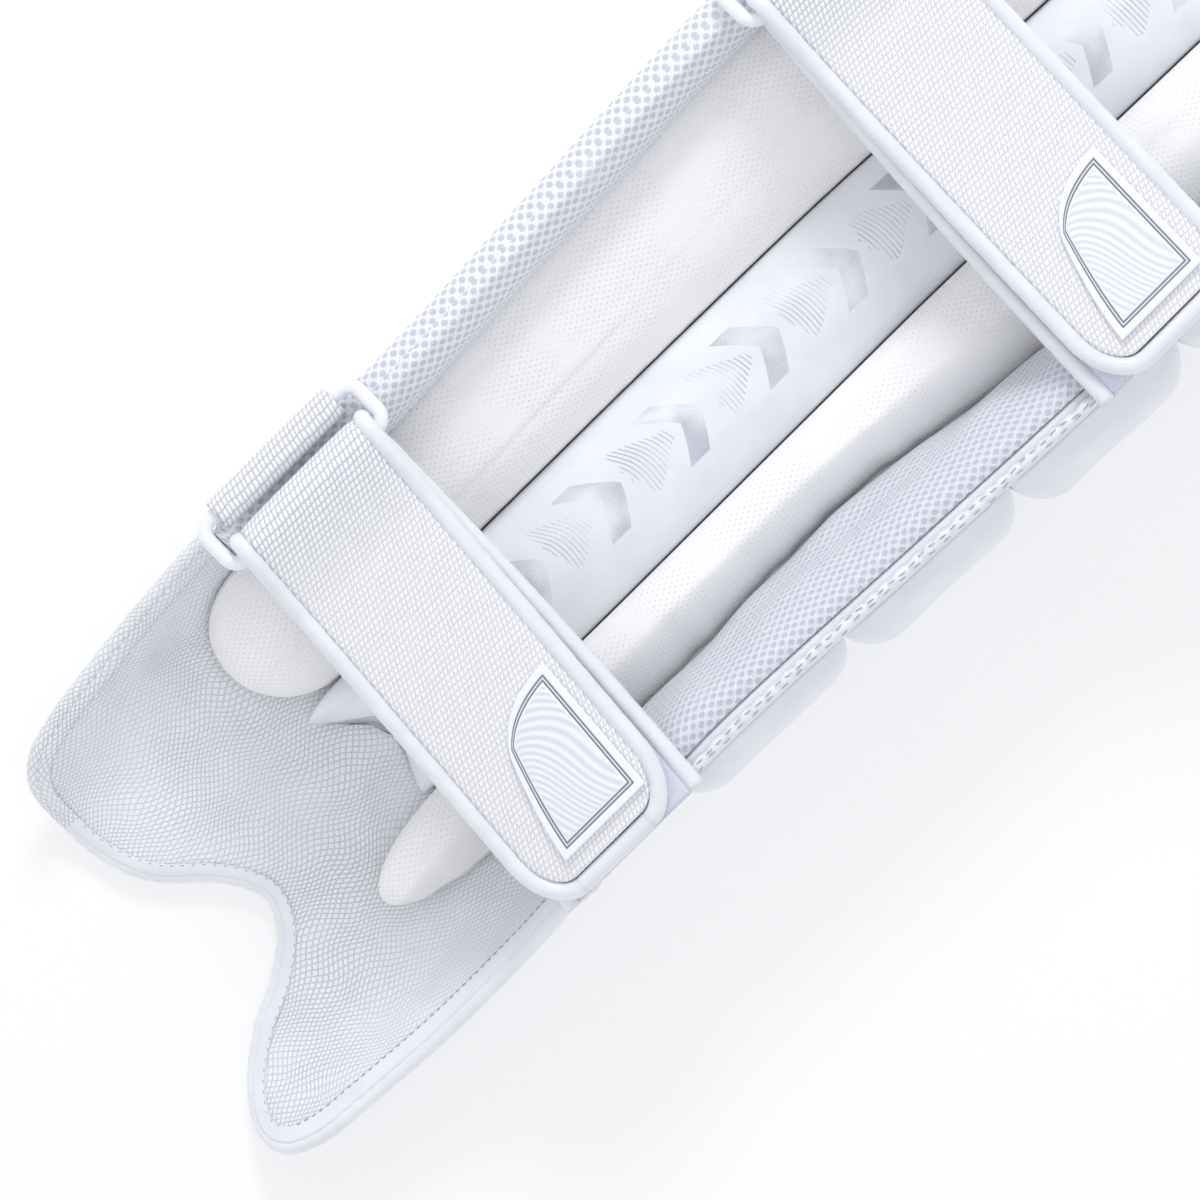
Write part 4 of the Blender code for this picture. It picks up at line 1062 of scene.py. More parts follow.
def spread_out(coarse):
    """A coarse net's values on a net with COARSE times as many steps along and round."""
    rows = (len(coarse) - 1) * COARSE + 1
    place = np.arange(rows) / COARSE
    low = np.minimum(place.astype(int), len(coarse) - 2)
    part = (place - low)[:, None, None]
    tall = coarse[low] * (1 - part) + coarse[low + 1] * part
    part = (np.arange(COARSE) / COARSE)[None, None, :, None]
    wide = tall[:, :, None] * (1 - part) + np.roll(tall, -1, axis=1)[:, :, None] * part
    return wide.reshape(rows, -1, 3)


# %% Add a pad
def add_pad(name, pad, rows, cells, material, stands_for, stuffed=False):
    """A stuffed pad as one closed crowned body; when stuffed is set, its cover is pressed out by a cloth
    simulation.
    """
    ring = pad_ring(*cells)
    places = on_wall(*pad_shape(pad, rows, ring))
    if stuffed:
        places = places + spread_out(pressed_cover(name, pad, rows, cells))
    places[..., 2] = np.maximum(places[..., 2], 0.0)
    start = 0 if pad.get("cloth_from") == "left" else cells[0] // 2
    piece = add_rows(name, places, ring_cloth(places, start), material)
    return declare(piece, stands_for)


def puckers(across, y, pitch, depth, reach, seed):
    """Short folds that run in from both side seams."""
    near = np.exp(-(1 - np.abs(across)) / reach)
    wander = 1.6 * soft_noise(y, across * 0.01, 0.06, seed)
    strength = 0.55 + 0.45 * soft_noise(y, 0 * y, 0.09, seed + 1)
    return -depth * near * strength * (1 + np.sin(2 * math.pi * y / pitch + wander)) / 2


# %% Left bolster and right bolster
def seam(name, gap):
    """A seam line between two pads, moved by a gap to one side."""
    return lambda y: section(name, y) * HALF_WIDTH + gap


FOAM_DENT = 0.0007
FOAM_DENT_SIZE = 0.075


def bolster_relief(seed):
    """Puckers at the seams and slow dents in the foam."""
    return lambda across, y, from_foot: (
        puckers(across, y, pitch=0.013, depth=0.0012, reach=0.10, seed=seed)
        - FOAM_DENT * (1 + soft_noise(across * 0.03, y, FOAM_DENT_SIZE, seed + 5)))


EDGE_TUCK = 0.0008
EDGE_TUCK_PITCH = 0.020


def ragged_edge(y):
    """The right bolster's free edge, drawn in by uneven tucks."""
    tucks = 1 + soft_noise(y, 0 * y, EDGE_TUCK_PITCH, 36)
    return seam("right_seam", -CLEARANCE)(y) - EDGE_TUCK * tucks


PAD_CELLS = (60, 4, 20)
left_bolster = add_pad("left_bolster_cushion", {
    "base": BEND_CLEARANCE, "high": PAD_TOP, "high_round": PAD_TOP_ROUND,
    "low": -FLAP_START - 0.035, "low_round": 0.034, "depth": 0.033,
    "left": lambda y: -arc_end(y) + CLEARANCE, "right": seam("centre_left", -CLEARANCE),
    "relief": bolster_relief(21),
}, 260, PAD_CELLS, knit_cloth, "left_bolster", stuffed=True)
right_bolster = add_pad("right_bolster_cushion", {
    "base": BEND_CLEARANCE, "high": PAD_TOP, "high_round": PAD_TOP_ROUND,
    "low": -FLAP_START - 0.0545, "low_round": 0.040, "depth": 0.030, "power": 5.0, "edge": 0.58,
    "left": seam("centre_right", CLEARANCE), "right": ragged_edge, "relief": bolster_relief(34),
}, 260, PAD_CELLS, knit_cloth, "right_bolster", stuffed=True)
print("bolster faces:", len(left_bolster.data.polygons), len(right_bolster.data.polygons))

# %% [markdown]
# ### Silver foil on the centre panel
# The centre panel is smooth leather with a foil print: a thin metal film pressed on with heat,
# so it follows the leather's own creases and shows a speckled grain. Here it is a plain row of
# chevrons with fields of short hatch lines between them. The film is drawn as a mask in the
# leather's own material, which leaves the panel one piece, as in the real one.

# %% Foil-printed leather
CHEVRON_MM = 43.0
CHEVRON_LEAN = 0.55
CHEVRON_SHARE = 0.24
FOIL_HALF_MM = 15.0
FOIL_SHIFT_MM = -4.0
HATCH_MM = 1.9
HATCH_SHARE = 0.36
HATCH_MIDDLE = 0.62
FOIL_CREASE_MM = (18.0, 26.0)
FOIL_GRAIN_MM = 0.55
FOIL_WORN_MM = 22.0
FOIL_RELIEF = 0.00006


def foil_printed_leather():
    """Smooth leather with chevrons and hatch lines in silver foil, and painted shade in the dips of its
    creases.
    """
    material, tree, cloth = start_material("foil_printed_leather")
    creases = node(tree, "ShaderNodeTexNoise", {
        "Vector": scaled(tree, cloth, *FOIL_CREASE_MM), "Scale": 1.0, "Detail": 3.0})
    split = node(tree, "ShaderNodeSeparateXYZ", {0: scaled(tree, cloth, 1.0, 1.0)})
    across, along = split.outputs["X"], split.outputs["Y"]
    side = node(tree, "ShaderNodeMath", {0: across, 1: FOIL_SHIFT_MM}, operation="SUBTRACT")
    off = node(tree, "ShaderNodeMath", {0: side}, operation="ABSOLUTE")
    leaning = node(tree, "ShaderNodeMath", {0: off, 1: CHEVRON_LEAN, 2: along}, operation="MULTIPLY_ADD")
    chevrons = node(tree, "ShaderNodeMath", {0: leaning, 1: CHEVRON_MM}, operation="DIVIDE")
    turn = node(tree, "ShaderNodeMath", {0: chevrons}, operation="FRACT")
    inside = node(tree, "ShaderNodeMapRange", {
        "Value": off, "From Min": FOIL_HALF_MM, "From Max": FOIL_HALF_MM + 0.3, "To Min": 1.0, "To Max": 0.0,
    }, interpolation_type="SMOOTHSTEP")
    solid = node(tree, "ShaderNodeMath", {0: turn, 1: CHEVRON_SHARE}, operation="LESS_THAN")
    past_middle = node(tree, "ShaderNodeMath", {0: turn, 1: HATCH_MIDDLE}, operation="SUBTRACT")
    from_middle = node(tree, "ShaderNodeMath", {0: past_middle}, operation="ABSOLUTE")
    hatch_side = node(tree, "ShaderNodeMapRange", {
        "Value": from_middle, "From Min": 0.0, "From Max": 0.26, "To Min": 13.0, "To Max": 3.0,
    }, interpolation_type="SMOOTHSTEP")
    hatch = node(tree, "ShaderNodeMath", {0: off, 1: hatch_side}, operation="LESS_THAN")
    lines = node(tree, "ShaderNodeMath", {0: along, 1: HATCH_MM}, operation="DIVIDE")
    line_turn = node(tree, "ShaderNodeMath", {0: lines}, operation="FRACT")
    line = node(tree, "ShaderNodeMath", {0: line_turn, 1: HATCH_SHARE}, operation="LESS_THAN")
    between = node(tree, "ShaderNodeMath", {0: from_middle, 1: 0.27}, operation="LESS_THAN")
    hatch = node(tree, "ShaderNodeMath", {0: hatch, 1: line}, operation="MULTIPLY")
    hatch = node(tree, "ShaderNodeMath", {0: hatch, 1: between}, operation="MULTIPLY")
    speckle = node(tree, "ShaderNodeTexNoise", {
        "Vector": scaled(tree, cloth, FOIL_GRAIN_MM, FOIL_GRAIN_MM), "Scale": 1.0, "Detail": 3.0,
        "Roughness": 0.8})
    patchy = node(tree, "ShaderNodeTexNoise", {
        "Vector": scaled(tree, cloth, FOIL_WORN_MM, FOIL_WORN_MM), "Scale": 1.0, "Detail": 2.0})
    held = node(tree, "ShaderNodeMath", {0: patchy, 1: 1.3, 2: speckle}, operation="MULTIPLY_ADD")
    cover = node(tree, "ShaderNodeMapRange", {
        "Value": held, "From Min": 0.88, "From Max": 1.40}, interpolation_type="SMOOTHSTEP")
    printed = node(tree, "ShaderNodeMath", {0: solid, 1: hatch}, operation="MAXIMUM")
    foil = node(tree, "ShaderNodeMath", {0: inside, 1: printed}, operation="MULTIPLY")
    foil = node(tree, "ShaderNodeMath", {0: foil, 1: cover}, operation="MULTIPLY")
    # Painted shade: the leather is darker in the dips of the creases.
    crease_shade = node(tree, "ShaderNodeMapRange", {
        "Value": creases, "From Min": 0.3, "From Max": 0.75}, interpolation_type="SMOOTHSTEP")
    leather = node(tree, "ShaderNodeMix", {
        0: crease_shade, 6: linear("#EBEDF2"), 7: linear("#F3F4F8")}, data_type="RGBA")
    folded = node(tree, "ShaderNodeMath", {0: creases, 1: 4.0}, operation="MULTIPLY")
    film = node(tree, "ShaderNodeMath", {0: foil, 1: 0.6}, operation="MULTIPLY")
    height = node(tree, "ShaderNodeMath", {0: speckle, 1: film, 2: folded}, operation="MULTIPLY_ADD")
    finish_shader(tree, height, FOIL_RELIEF, {
        "Base Color": node(tree, "ShaderNodeMix", {
            0: foil, 6: leather, 7: linear("#C6CAD3")}, data_type="RGBA"),
        "Metallic": film,
        "Roughness": node(tree, "ShaderNodeMapRange", {
            "Value": foil, "To Min": 0.36, "To Max": 0.30}, interpolation_type="SMOOTHSTEP"),
    })
    return material


CENTRE_FOOT_LINE = np.array((
    (-1.00, 0.0), (-0.53, 0.0126), (-0.16, 0.0200), (0.30, 0.0195), (0.80, 0.0137), (1.00, 0.0120),
))
GATHER_LENGTH = 0.030
GATHER_DEPTH = 0.0016
GATHERS = 3.4
RIPPLE_DEPTH = 0.0004


def centre_relief(across, y, from_foot):
    """Gathers at the panel's foot and a nearly flat, slightly rippled face above."""
    near = np.clip(1 - from_foot / GATHER_LENGTH, 0, 1) ** 1.5
    bend = 1.2 * from_foot / GATHER_LENGTH + 0.8 * np.sin(across * 5)
    folds = 0.5 + 0.5 * np.cos(across * math.pi * GATHERS + bend)
    return -GATHER_DEPTH * near * folds - RIPPLE_DEPTH * (1 + soft_noise(across * 0.03, y, 0.08, 52))


centre_panel = add_pad("smooth_centre_panel", {
    "base": BEND_CLEARANCE, "high": PAD_TOP, "high_round": PAD_TOP_ROUND,
    "low": -FLAP_START - 0.0265, "low_round": 0.016, "end_pull": 0.12, "depth": 0.024, "edge": 0.42,
    "left": seam("centre_left", CLEARANCE), "right": seam("centre_right", -CLEARANCE),
    "foot_rise": lambda across: smooth_value(CENTRE_FOOT_LINE[:, 0], CENTRE_FOOT_LINE[:, 1], across),
    "relief": centre_relief,
}, 280, PAD_CELLS, foil_printed_leather(), "centre_panel", stuffed=True)
print("centre panel faces:", len(centre_panel.data.polygons))

# %% Wings in air mesh
WING_ROLL_DEPTH = 0.021
WING_ROLL_SIDE = 0.45
WING_PAD_GAP = 0.0030
WING_DENT = 0.0010
left_wing = add_pad("left_wing_mesh_roll", {
    "low": -FLAP_START + CLEARANCE, "low_round": 0.012, "high": WING_TOP, "high_round": PAD_TOP_ROUND,
    "left": lambda y: -wing_end(y), "right": lambda y: -arc_end(y) - BEND_CLEARANCE,
    "base": -SHELL_WALL, "depth": WING_ROLL_DEPTH, "under": 0.35, "end_pull": 0.2,
    "edge": WING_ROLL_SIDE,
    "relief": lambda across, y, from_foot: puckers(
        across, y, pitch=0.011, depth=0.0009, reach=0.2, seed=61),
}, 260, (36, 4, 16), wing_mesh, "left_wing_roll", stuffed=True)
right_wing = add_pad("right_wing_mesh_pad", {
    "low": -FLAP_START + CLEARANCE, "low_round": 0.012, "high": WING_TOP, "high_round": PAD_TOP_ROUND,
    "left": seam("right_seam", WING_PAD_GAP), "right": wing_end,
    "base": BEND_CLEARANCE, "depth": 0.013, "end_pull": 0.05, "edge": 0.35, "cloth_from": "left",
    "relief": lambda across, y, from_foot: (
        puckers(across, y, pitch=0.009, depth=0.0016, reach=0.16, seed=71) * (across > 0)
        - WING_DENT * (1 + soft_noise(across * 0.02, y, 0.04, 72))),
}, 280, (52, 4, 16), shaded_selvedge_mesh, "right_wing_pad", stuffed=True)
print("wing faces:", len(left_wing.data.polygons), len(right_wing.data.polygons))

# %% [markdown]
# ## Rolls on the front and on the outer side
# The front of the guard is built from upright rolls over the shin and cross rolls over the knee,
# each one a leather tube packed with foam. The photo hides them, so they are the plain usual
# ones. The outer side wing has five blocks, and their ends make the scallops along the right
# edge. They are the same crowned pad, turned outwards.

# %% Front rolls
SHIN_ROLLS = 5
SHIN_ROLL_WIDTH = 0.0245
SHIN_ROLL_TOP = GUARD_LENGTH / 2 - 0.202
KNEE_ROLLS = 3
KNEE_ROLL_LENGTH = 0.033
KNEE_HALF_WIDTH = 0.074
TOP_PAD_HALF_WIDTH = 0.070
TOP_PAD_DEPTH = 0.010
OUTSIDE = -(SHELL_WALL + BEND_CLEARANCE)
ROLL_CELLS = (32, 4, 12)
ROLL_DENT = 0.0003


def roll_relief(seed, pitch=0.012):
    """Puckers at a roll's long seams and slow dents."""
    return lambda across, y, from_foot: (
        puckers(across, y, pitch, depth=0.0007, reach=0.12, seed=seed)
        - ROLL_DENT * (1 + soft_noise(across * 0.02, y, 0.04, seed + 3)))


for n in range(SHIN_ROLLS):
    left_edge = (n - 2.5) * SHIN_ROLL_WIDTH + CLEARANCE
    right_edge = (n - 1.5) * SHIN_ROLL_WIDTH - CLEARANCE
    add_pad(f"shin_roll_cushion_{n + 1}", {
        "low": -FLAP_START + CLEARANCE, "high": SHIN_ROLL_TOP, "low_round": 0.016, "high_round": 0.012,
        "left": lambda y, s=left_edge: s + 0 * y, "right": lambda y, s=right_edge: s + 0 * y,
        "base": OUTSIDE, "depth": -ROLL_DEPTH, "end_pull": 0.15, "relief": roll_relief(80 + n),
    }, 110, ROLL_CELLS, white_leather, f"shin_roll_{n + 1}")
for n in range(KNEE_ROLLS):
    start = SHIN_ROLL_TOP + n * KNEE_ROLL_LENGTH
    add_pad(f"knee_roll_cushion_{n + 1}", {
        "low": start + 2 * CLEARANCE, "high": start + KNEE_ROLL_LENGTH - CLEARANCE,
        "low_round": 0.014, "high_round": 0.014, "base": OUTSIDE, "depth": -ROLL_DEPTH,
        "left": lambda y: -KNEE_HALF_WIDTH + 0 * y, "right": lambda y: KNEE_HALF_WIDTH + 0 * y,
        "end_pull": 0.04, "power": 8.0, "relief": roll_relief(90 + n),
    }, 36, (80, 4, 40), white_leather, f"knee_roll_{n + 1}")
add_pad("top_knee_cushion", {
    "low": SHIN_ROLL_TOP + KNEE_ROLLS * KNEE_ROLL_LENGTH + 2 * CLEARANCE,
    "high": GUARD_LENGTH / 2 - 0.010,
    "low_round": 0.016, "high_round": 0.030, "base": OUTSIDE, "depth": -TOP_PAD_DEPTH,
    "left": lambda y: -TOP_PAD_HALF_WIDTH + 0 * y, "right": lambda y: TOP_PAD_HALF_WIDTH + 0 * y,
    "end_pull": 0.08, "power": 6.0, "relief": roll_relief(95),
}, 60, (80, 4, 40), white_leather, "top_pad")

# %% Side rolls
SIDE_ROLLS = 5
SIDE_ROLL_LENGTH = 0.084
SIDE_ROLL_DEPTH = 0.021
SIDE_ROLL_WIDTH = 0.062
SIDE_ROLL_SETBACK = 0.004
SIDE_ROLL_START = -(FLAP_START - 0.058)
for n in range(SIDE_ROLLS):
    start = SIDE_ROLL_START + n * SIDE_ROLL_LENGTH
    add_pad(f"side_roll_cushion_{n + 1}", {
        "low": start + CLEARANCE, "high": start + SIDE_ROLL_LENGTH - CLEARANCE,
        "low_round": 0.016, "high_round": 0.016, "base": OUTSIDE,
        "depth": -SIDE_ROLL_DEPTH * (0.70 + 0.30 * min(n / 2, 1.0)), "end_pull": 0.05, "power": 3.2,
        "left": lambda y: np.maximum(wing_end(y) - SIDE_ROLL_WIDTH, KNEE_HALF_WIDTH + CLEARANCE),
        "right": lambda y: wing_end(y) - SIDE_ROLL_SETBACK, "relief": roll_relief(100 + n, 0.016),
    }, 60, (50, 4, 24), white_leather, f"side_roll_{n + 1}")

# %% [markdown]
# ## Straps
# Each strap is one padded band of coarse webbing with a rolled leather edge. It is sewn under the
# right wing's binding, runs across the calf, goes down round the ring's bar and comes back on
# top of itself, where hook-and-loop holds its rounded end. A route in the plane across the guard
# gives its middle line, and the band, its pipings and its badge are all laid along that route.

# %% Sizes of a strap
STRAP_WIDTH = 0.072
STRAP_THICKNESS = 0.0062
PIPING_RADIUS = 0.0036
LAYER_GAP = 0.0005
STRAP_SAG = 0.005
STRAP_END_RADIUS = 0.019
STRAP_SPREAD = 0.034
RING_BAR_RADIUS = 0.0029
RING_REACH = 0.0207
RING_CORNER_RADIUS = 0.006
RING_SIDE_GAP = 0.0009
TAB_THICKNESS = 0.0016
TAB_DROP = 0.024
TAB_PLUMP = 0.0006
TAB_BULGE = 0.42
TAB_CELLS = 36
TAB_BEND_LENGTH = 0.006
WING_ROLL_RISE = WING_ROLL_DEPTH * WING_ROLL_SIDE
STRAPS = (
    {"name": "lower", "along": -0.2086 * GUARD_LENGTH, "slant": -0.082, "end": 0.0895,
     "anchor": 0.0975, "badge": 0.06 * STRAP_WIDTH, "splay": 0.0068},
    {"name": "upper", "along": 0.2289 * GUARD_LENGTH, "slant": -0.036, "end": 0.0985,
     "anchor": 0.1045, "badge": 0.02 * STRAP_WIDTH, "splay": -0.0052},
)


def right_rim_height(y):
    """Height of the right wing's bound edge."""
    rim = wall_place(wing_end(y) + BINDING_RADIUS + BEND_CLEARANCE, y, -SHELL_WALL / 2)
    return rim[..., 2] + BINDING_RADIUS


def strap_layout(strap):
    """Places of a strap's ring and layers, worked out from the wings that carry them."""
    span = STRAP_WIDTH / 2 + RING_SIDE_GAP + 2 * RING_BAR_RADIUS
    y = strap["along"] + span * (np.arange(9) / 4 - 1)
    left_x = wall_place(-wing_end(y), y, -SHELL_WALL)[:, 0].min()
    left_z = wall_place(-wing_end(y), y, -SHELL_WALL + WING_ROLL_RISE)[:, 2].max()
    tab_radius = RING_BAR_RADIUS + CLEARANCE + TAB_THICKNESS / 2
    face = left_x - BEND_CLEARANCE - TAB_THICKNESS / 2
    fold = RING_BAR_RADIUS + CLEARANCE + PIPING_RADIUS
    inner_x = face + tab_radius + RING_REACH
    anchor_y = strap["along"] + strap["slant"] * (strap["anchor"] - inner_x)
    anchor_z = float(right_rim_height(np.asarray(anchor_y))) + BEND_CLEARANCE + PIPING_RADIUS
    return {
        "tab_radius": tab_radius, "fold": fold, "pitch": 2 * PIPING_RADIUS + LAYER_GAP,
        "outer": np.array([face + tab_radius, 0.0, left_z + CLEARANCE + tab_radius + TAB_THICKNESS / 2]),
        "inner": np.array([inner_x, 0.0, left_z + CLEARANCE + fold + PIPING_RADIUS]),
        "anchor": np.array([strap["anchor"], anchor_y, anchor_z]),
    }


# %% The strap's route
def strap_path(strap, under_steps, fold_steps, top_steps, corner_steps):
    """The strap's middle line across the guard and height: under layer, fold, top layer, end."""
    layout = strap_layout(strap)
    inner, anchor, fold = layout["inner"], layout["anchor"], layout["fold"]

    def under_z(x):
        share = (x - inner[0]) / (anchor[0] - inner[0])
        low = inner[2] - fold
        return low + (anchor[2] - low) * share - 4 * STRAP_SAG * share * (1 - share)

    def top_z(x):
        away = np.clip((x - inner[0]) / STRAP_SPREAD, 0.0, 1.0)
        ease = 1 - away * away * (3 - 2 * away)
        return under_z(x) + layout["pitch"] + (2 * fold - layout["pitch"]) * ease

    x_under = anchor[0] + (inner[0] - anchor[0]) * np.arange(under_steps) / under_steps
    turn = np.linspace(0, math.pi, fold_steps + 1)
    straight_end = strap["end"] - STRAP_END_RADIUS
    x_top = inner[0] + (straight_end - inner[0]) * (np.arange(1, top_steps + 1) / top_steps) ** 1.15
    corner = np.arange(1, corner_steps + 1) / corner_steps
    x_end = straight_end + STRAP_END_RADIUS * np.sin(math.pi / 2 * corner)
    x = np.concatenate([x_under, inner[0] - fold * np.sin(turn), x_top, x_end])
    z = np.concatenate([under_z(x_under), inner[2] - fold * np.cos(turn), top_z(x_top), top_z(x_end)])
    return np.stack([x, z], axis=1), under_steps + fold_steps // 2


def lay_strap(strap, x, z, across):
    """Puts places of the middle line at the strap's slant, twisted to lie along the right rim."""
    layout = strap_layout(strap)
    reach = x - layout["inner"][0]
    share = np.maximum(reach / (layout["anchor"][0] - layout["inner"][0]), 0.0)
    anchor_y = layout["anchor"][1]
    rise = right_rim_height(anchor_y + across) - right_rim_height(np.asarray(anchor_y))
    y = strap["along"] + strap["slant"] * reach + across
    return np.stack(np.broadcast_arrays(x, y, z + share * share * rise), axis=-1) + TO_FLOOR


def end_half_width(rows, corner_steps, half, corner):
    """Half width at each row, which narrows round the corners of the free end."""
    step = np.clip(np.arange(rows) - (rows - 1 - corner_steps), 0, corner_steps) / corner_steps
    return half - corner * (1 - np.cos(math.pi / 2 * step))


def path_normals(path):
    """The outer side of the route: down on the under layer and up on the top one."""
    tangent = np.gradient(path, axis=0)
    tangent /= np.linalg.norm(tangent, axis=1)[:, None]
    return np.stack([-tangent[:, 1], tangent[:, 0]], axis=1)


# %% Bands and pipings
ROUTE_STEPS = {"under_steps": 90, "fold_steps": 24, "top_steps": 110, "corner_steps": 18}
BAND_CELLS = 40
BAND_INSET = 2 * PIPING_RADIUS - 0.0006


def splay_under(strap, places):
    """Turns the under layer a little about the ring, as where a strap isn't pulled straight."""
    under = places[:ROUTE_STEPS["under_steps"]]
    layout = strap_layout(strap)
    reach = under[..., 0] - TO_FLOOR[0] - layout["inner"][0]
    share = np.clip(reach / (layout["anchor"][0] - layout["inner"][0]), 0, 1)
    under[..., 1] += strap["splay"] * (1 - (1 - share) ** 2)


def add_band(strap):
    """The webbing band: a flat ring, outer face, edge, inner face, edge, along the route."""
    path, fold_row = strap_path(strap, **ROUTE_STEPS)
    normal = path_normals(path)
    face = np.linspace(-1, 1, BAND_CELLS + 1)
    across = np.concatenate([face, face[::-1]])[None, :]
    side = np.concatenate([np.ones(BAND_CELLS + 1), -np.ones(BAND_CELLS + 1)])[None, :]
    half = end_half_width(
        len(path), ROUTE_STEPS["corner_steps"], STRAP_WIDTH / 2 - BAND_INSET, STRAP_END_RADIUS - BAND_INSET)
    plump = 0.72 + 0.28 * np.sqrt(np.maximum(1 - np.abs(across) ** 4, 0))
    lift = side * plump * STRAP_THICKNESS / 2
    x = path[:, :1] + normal[:, :1] * lift
    z = path[:, 1:] + normal[:, 1:] * lift
    places = lay_strap(strap, x, z, across * half[:, None])
    splay_under(strap, places)
    steps = np.linalg.norm(np.diff(path, axis=0), axis=1)
    along = np.concatenate([[0.0], np.cumsum(steps)])
    along = (along - along[fold_row])[:, None]
    cloth = np.stack(np.broadcast_arrays(across * half[:, None], along), axis=-1)
    cloth = np.concatenate([cloth, cloth[:, :1]], axis=1)
    piece = add_rows(f"{strap['name']}_strap_band", places, cloth, strap_webbing)
    piece.data.materials.append(loop_pile)
    rows, ring = np.divmod(np.arange(len(piece.data.polygons)), 2 * BAND_CELLS + 2)
    upward = (rows < ROUTE_STEPS["under_steps"]) & (ring > BAND_CELLS)
    piece.data.polygons.foreach_set("material_index", upward.astype(np.int32))
    return declare(piece, f"{strap['name']}_strap")


def add_piping(strap):
    """The rolled edge along both sides of the strap and round its free end."""
    path, _ = strap_path(strap, **ROUTE_STEPS)
    corner_steps = ROUTE_STEPS["corner_steps"]
    half = end_half_width(
        len(path), corner_steps, STRAP_WIDTH / 2 - PIPING_RADIUS, STRAP_END_RADIUS - PIPING_RADIUS)
    step = np.clip(np.arange(len(path)) - (len(path) - 1 - corner_steps), 0, corner_steps) / corner_steps
    out = (PIPING_RADIUS + CLEARANCE) * np.sin(math.pi / 2 * step)
    sides = []
    for sign in (1.0, -1.0):
        edge = lay_strap(strap, path[:, 0], path[:, 1], sign * half)
        edge[:, 0] += out
        splay_under(strap, edge)
        sides.append(edge)
    line = np.concatenate([sides[0], sides[1][::-1]])
    return add_tube(
        f"{strap['name']}_strap_rolled_edge", line, PIPING_RADIUS, piping_leather, "binding",
        f"{strap['name']}_strap_piping", cells=20, gathers=0.00012, pitch=0.011, up=(0.0, 1.0, 0.0))


for strap in STRAPS:
    add_band(strap)
    add_piping(strap)
print("strap layout:", {key: np.round(value, 4).tolist() for key, value in strap_layout(STRAPS[0]).items()})

# %% [markdown]
# ## Rings and their tabs
# The ring is a rectangular loop of glossy nylon, moulded in one piece, with round bars and a
# small parting line. A webbing tab is sewn to the wing's outer face and wraps the ring's outer
# bar. Nylon is the one glossy thing in view, so it gets a low roughness and a faint clouding.

# %% Moulded nylon
FLOW_MM = (6.0, 30.0)
NYLON_RELIEF = 0.00003


def moulded_nylon():
    """White nylon: glossy, slightly cloudy, with faint flow marks."""
    material, tree, cloth = start_material("moulded_white_nylon")
    flow = node(tree, "ShaderNodeTexNoise", {
        "Vector": scaled(tree, cloth, *FLOW_MM), "Scale": 1.0, "Detail": 2.0})
    finish_shader(tree, flow, NYLON_RELIEF, {
        "Base Color": node(tree, "ShaderNodeMix", {
            0: flow, 6: linear("#EEF1F8"), 7: linear("#F8FAFE")}, data_type="RGBA"),
        "Roughness": node(tree, "ShaderNodeMapRange", {
            "Value": flow, "From Min": 0.3, "From Max": 0.7, "To Min": 0.16, "To Max": 0.26,
        }, interpolation_type="SMOOTHSTEP"),
        "IOR": 1.53, "Subsurface Weight": 0.1, "Subsurface Scale": 0.002,
    })
    return material


nylon = moulded_nylon()

# %% Rings
RING_CELLS = 24
PARTING_BASE = 0.985
PARTING_RISE = 0.02
PARTING_WIDTH = 0.10


def add_ring(strap):
    """A closed loop of round bar with a fine parting line on both sides."""
    layout = strap_layout(strap)
    outer, inner = layout["outer"], layout["inner"]
    half = STRAP_WIDTH / 2 + RING_SIDE_GAP + RING_BAR_RADIUS
    reach = np.linalg.norm(inner - outer)
    slope = (inner - outer) / reach
    radius = RING_CORNER_RADIUS
    corners = (
        (reach - radius, half - radius), (radius, half - radius),
        (radius, radius - half), (reach - radius, radius - half))
    line = []
    for quarter, (across, along) in enumerate(corners):
        turn = math.pi / 2 * (quarter + np.linspace(0, 1, 13))
        corner = outer + slope * (across + radius * np.cos(turn))[:, None]
        corner[:, 1] = strap["along"] + along + radius * np.sin(turn)
        ahead = corners[(quarter + 1) % 4]
        next_turn = math.pi / 2 * (quarter + 1)
        start = outer + slope * (ahead[0] + radius * math.cos(next_turn))
        start[1] = strap["along"] + ahead[1] + radius * math.sin(next_turn)
        bar = corner[-1] + (start - corner[-1]) * np.linspace(0, 1, 14)[1:-1, None]
        line += [corner, bar]
    line = np.concatenate(line) + TO_FLOOR
    turn = np.linspace(0, 2 * math.pi, RING_CELLS, endpoint=False)
    parting = PARTING_BASE + PARTING_RISE * np.exp(-(np.sin(turn) / PARTING_WIDTH) ** 2)
    places = swept(
        line, RING_BAR_RADIUS * parting[None, :], RING_CELLS, True, up=np.cross(slope, (0.0, 1.0, 0.0)))
    cloth = ring_cloth(places)
    cloth = np.concatenate([cloth, cloth[-1:] + np.array([0.0, 0.002])], axis=0)
    piece = add_rows(f"{strap['name']}_nylon_ring", places, cloth, nylon, loop=True)
    return declare(piece, f"{strap['name']}_ring")


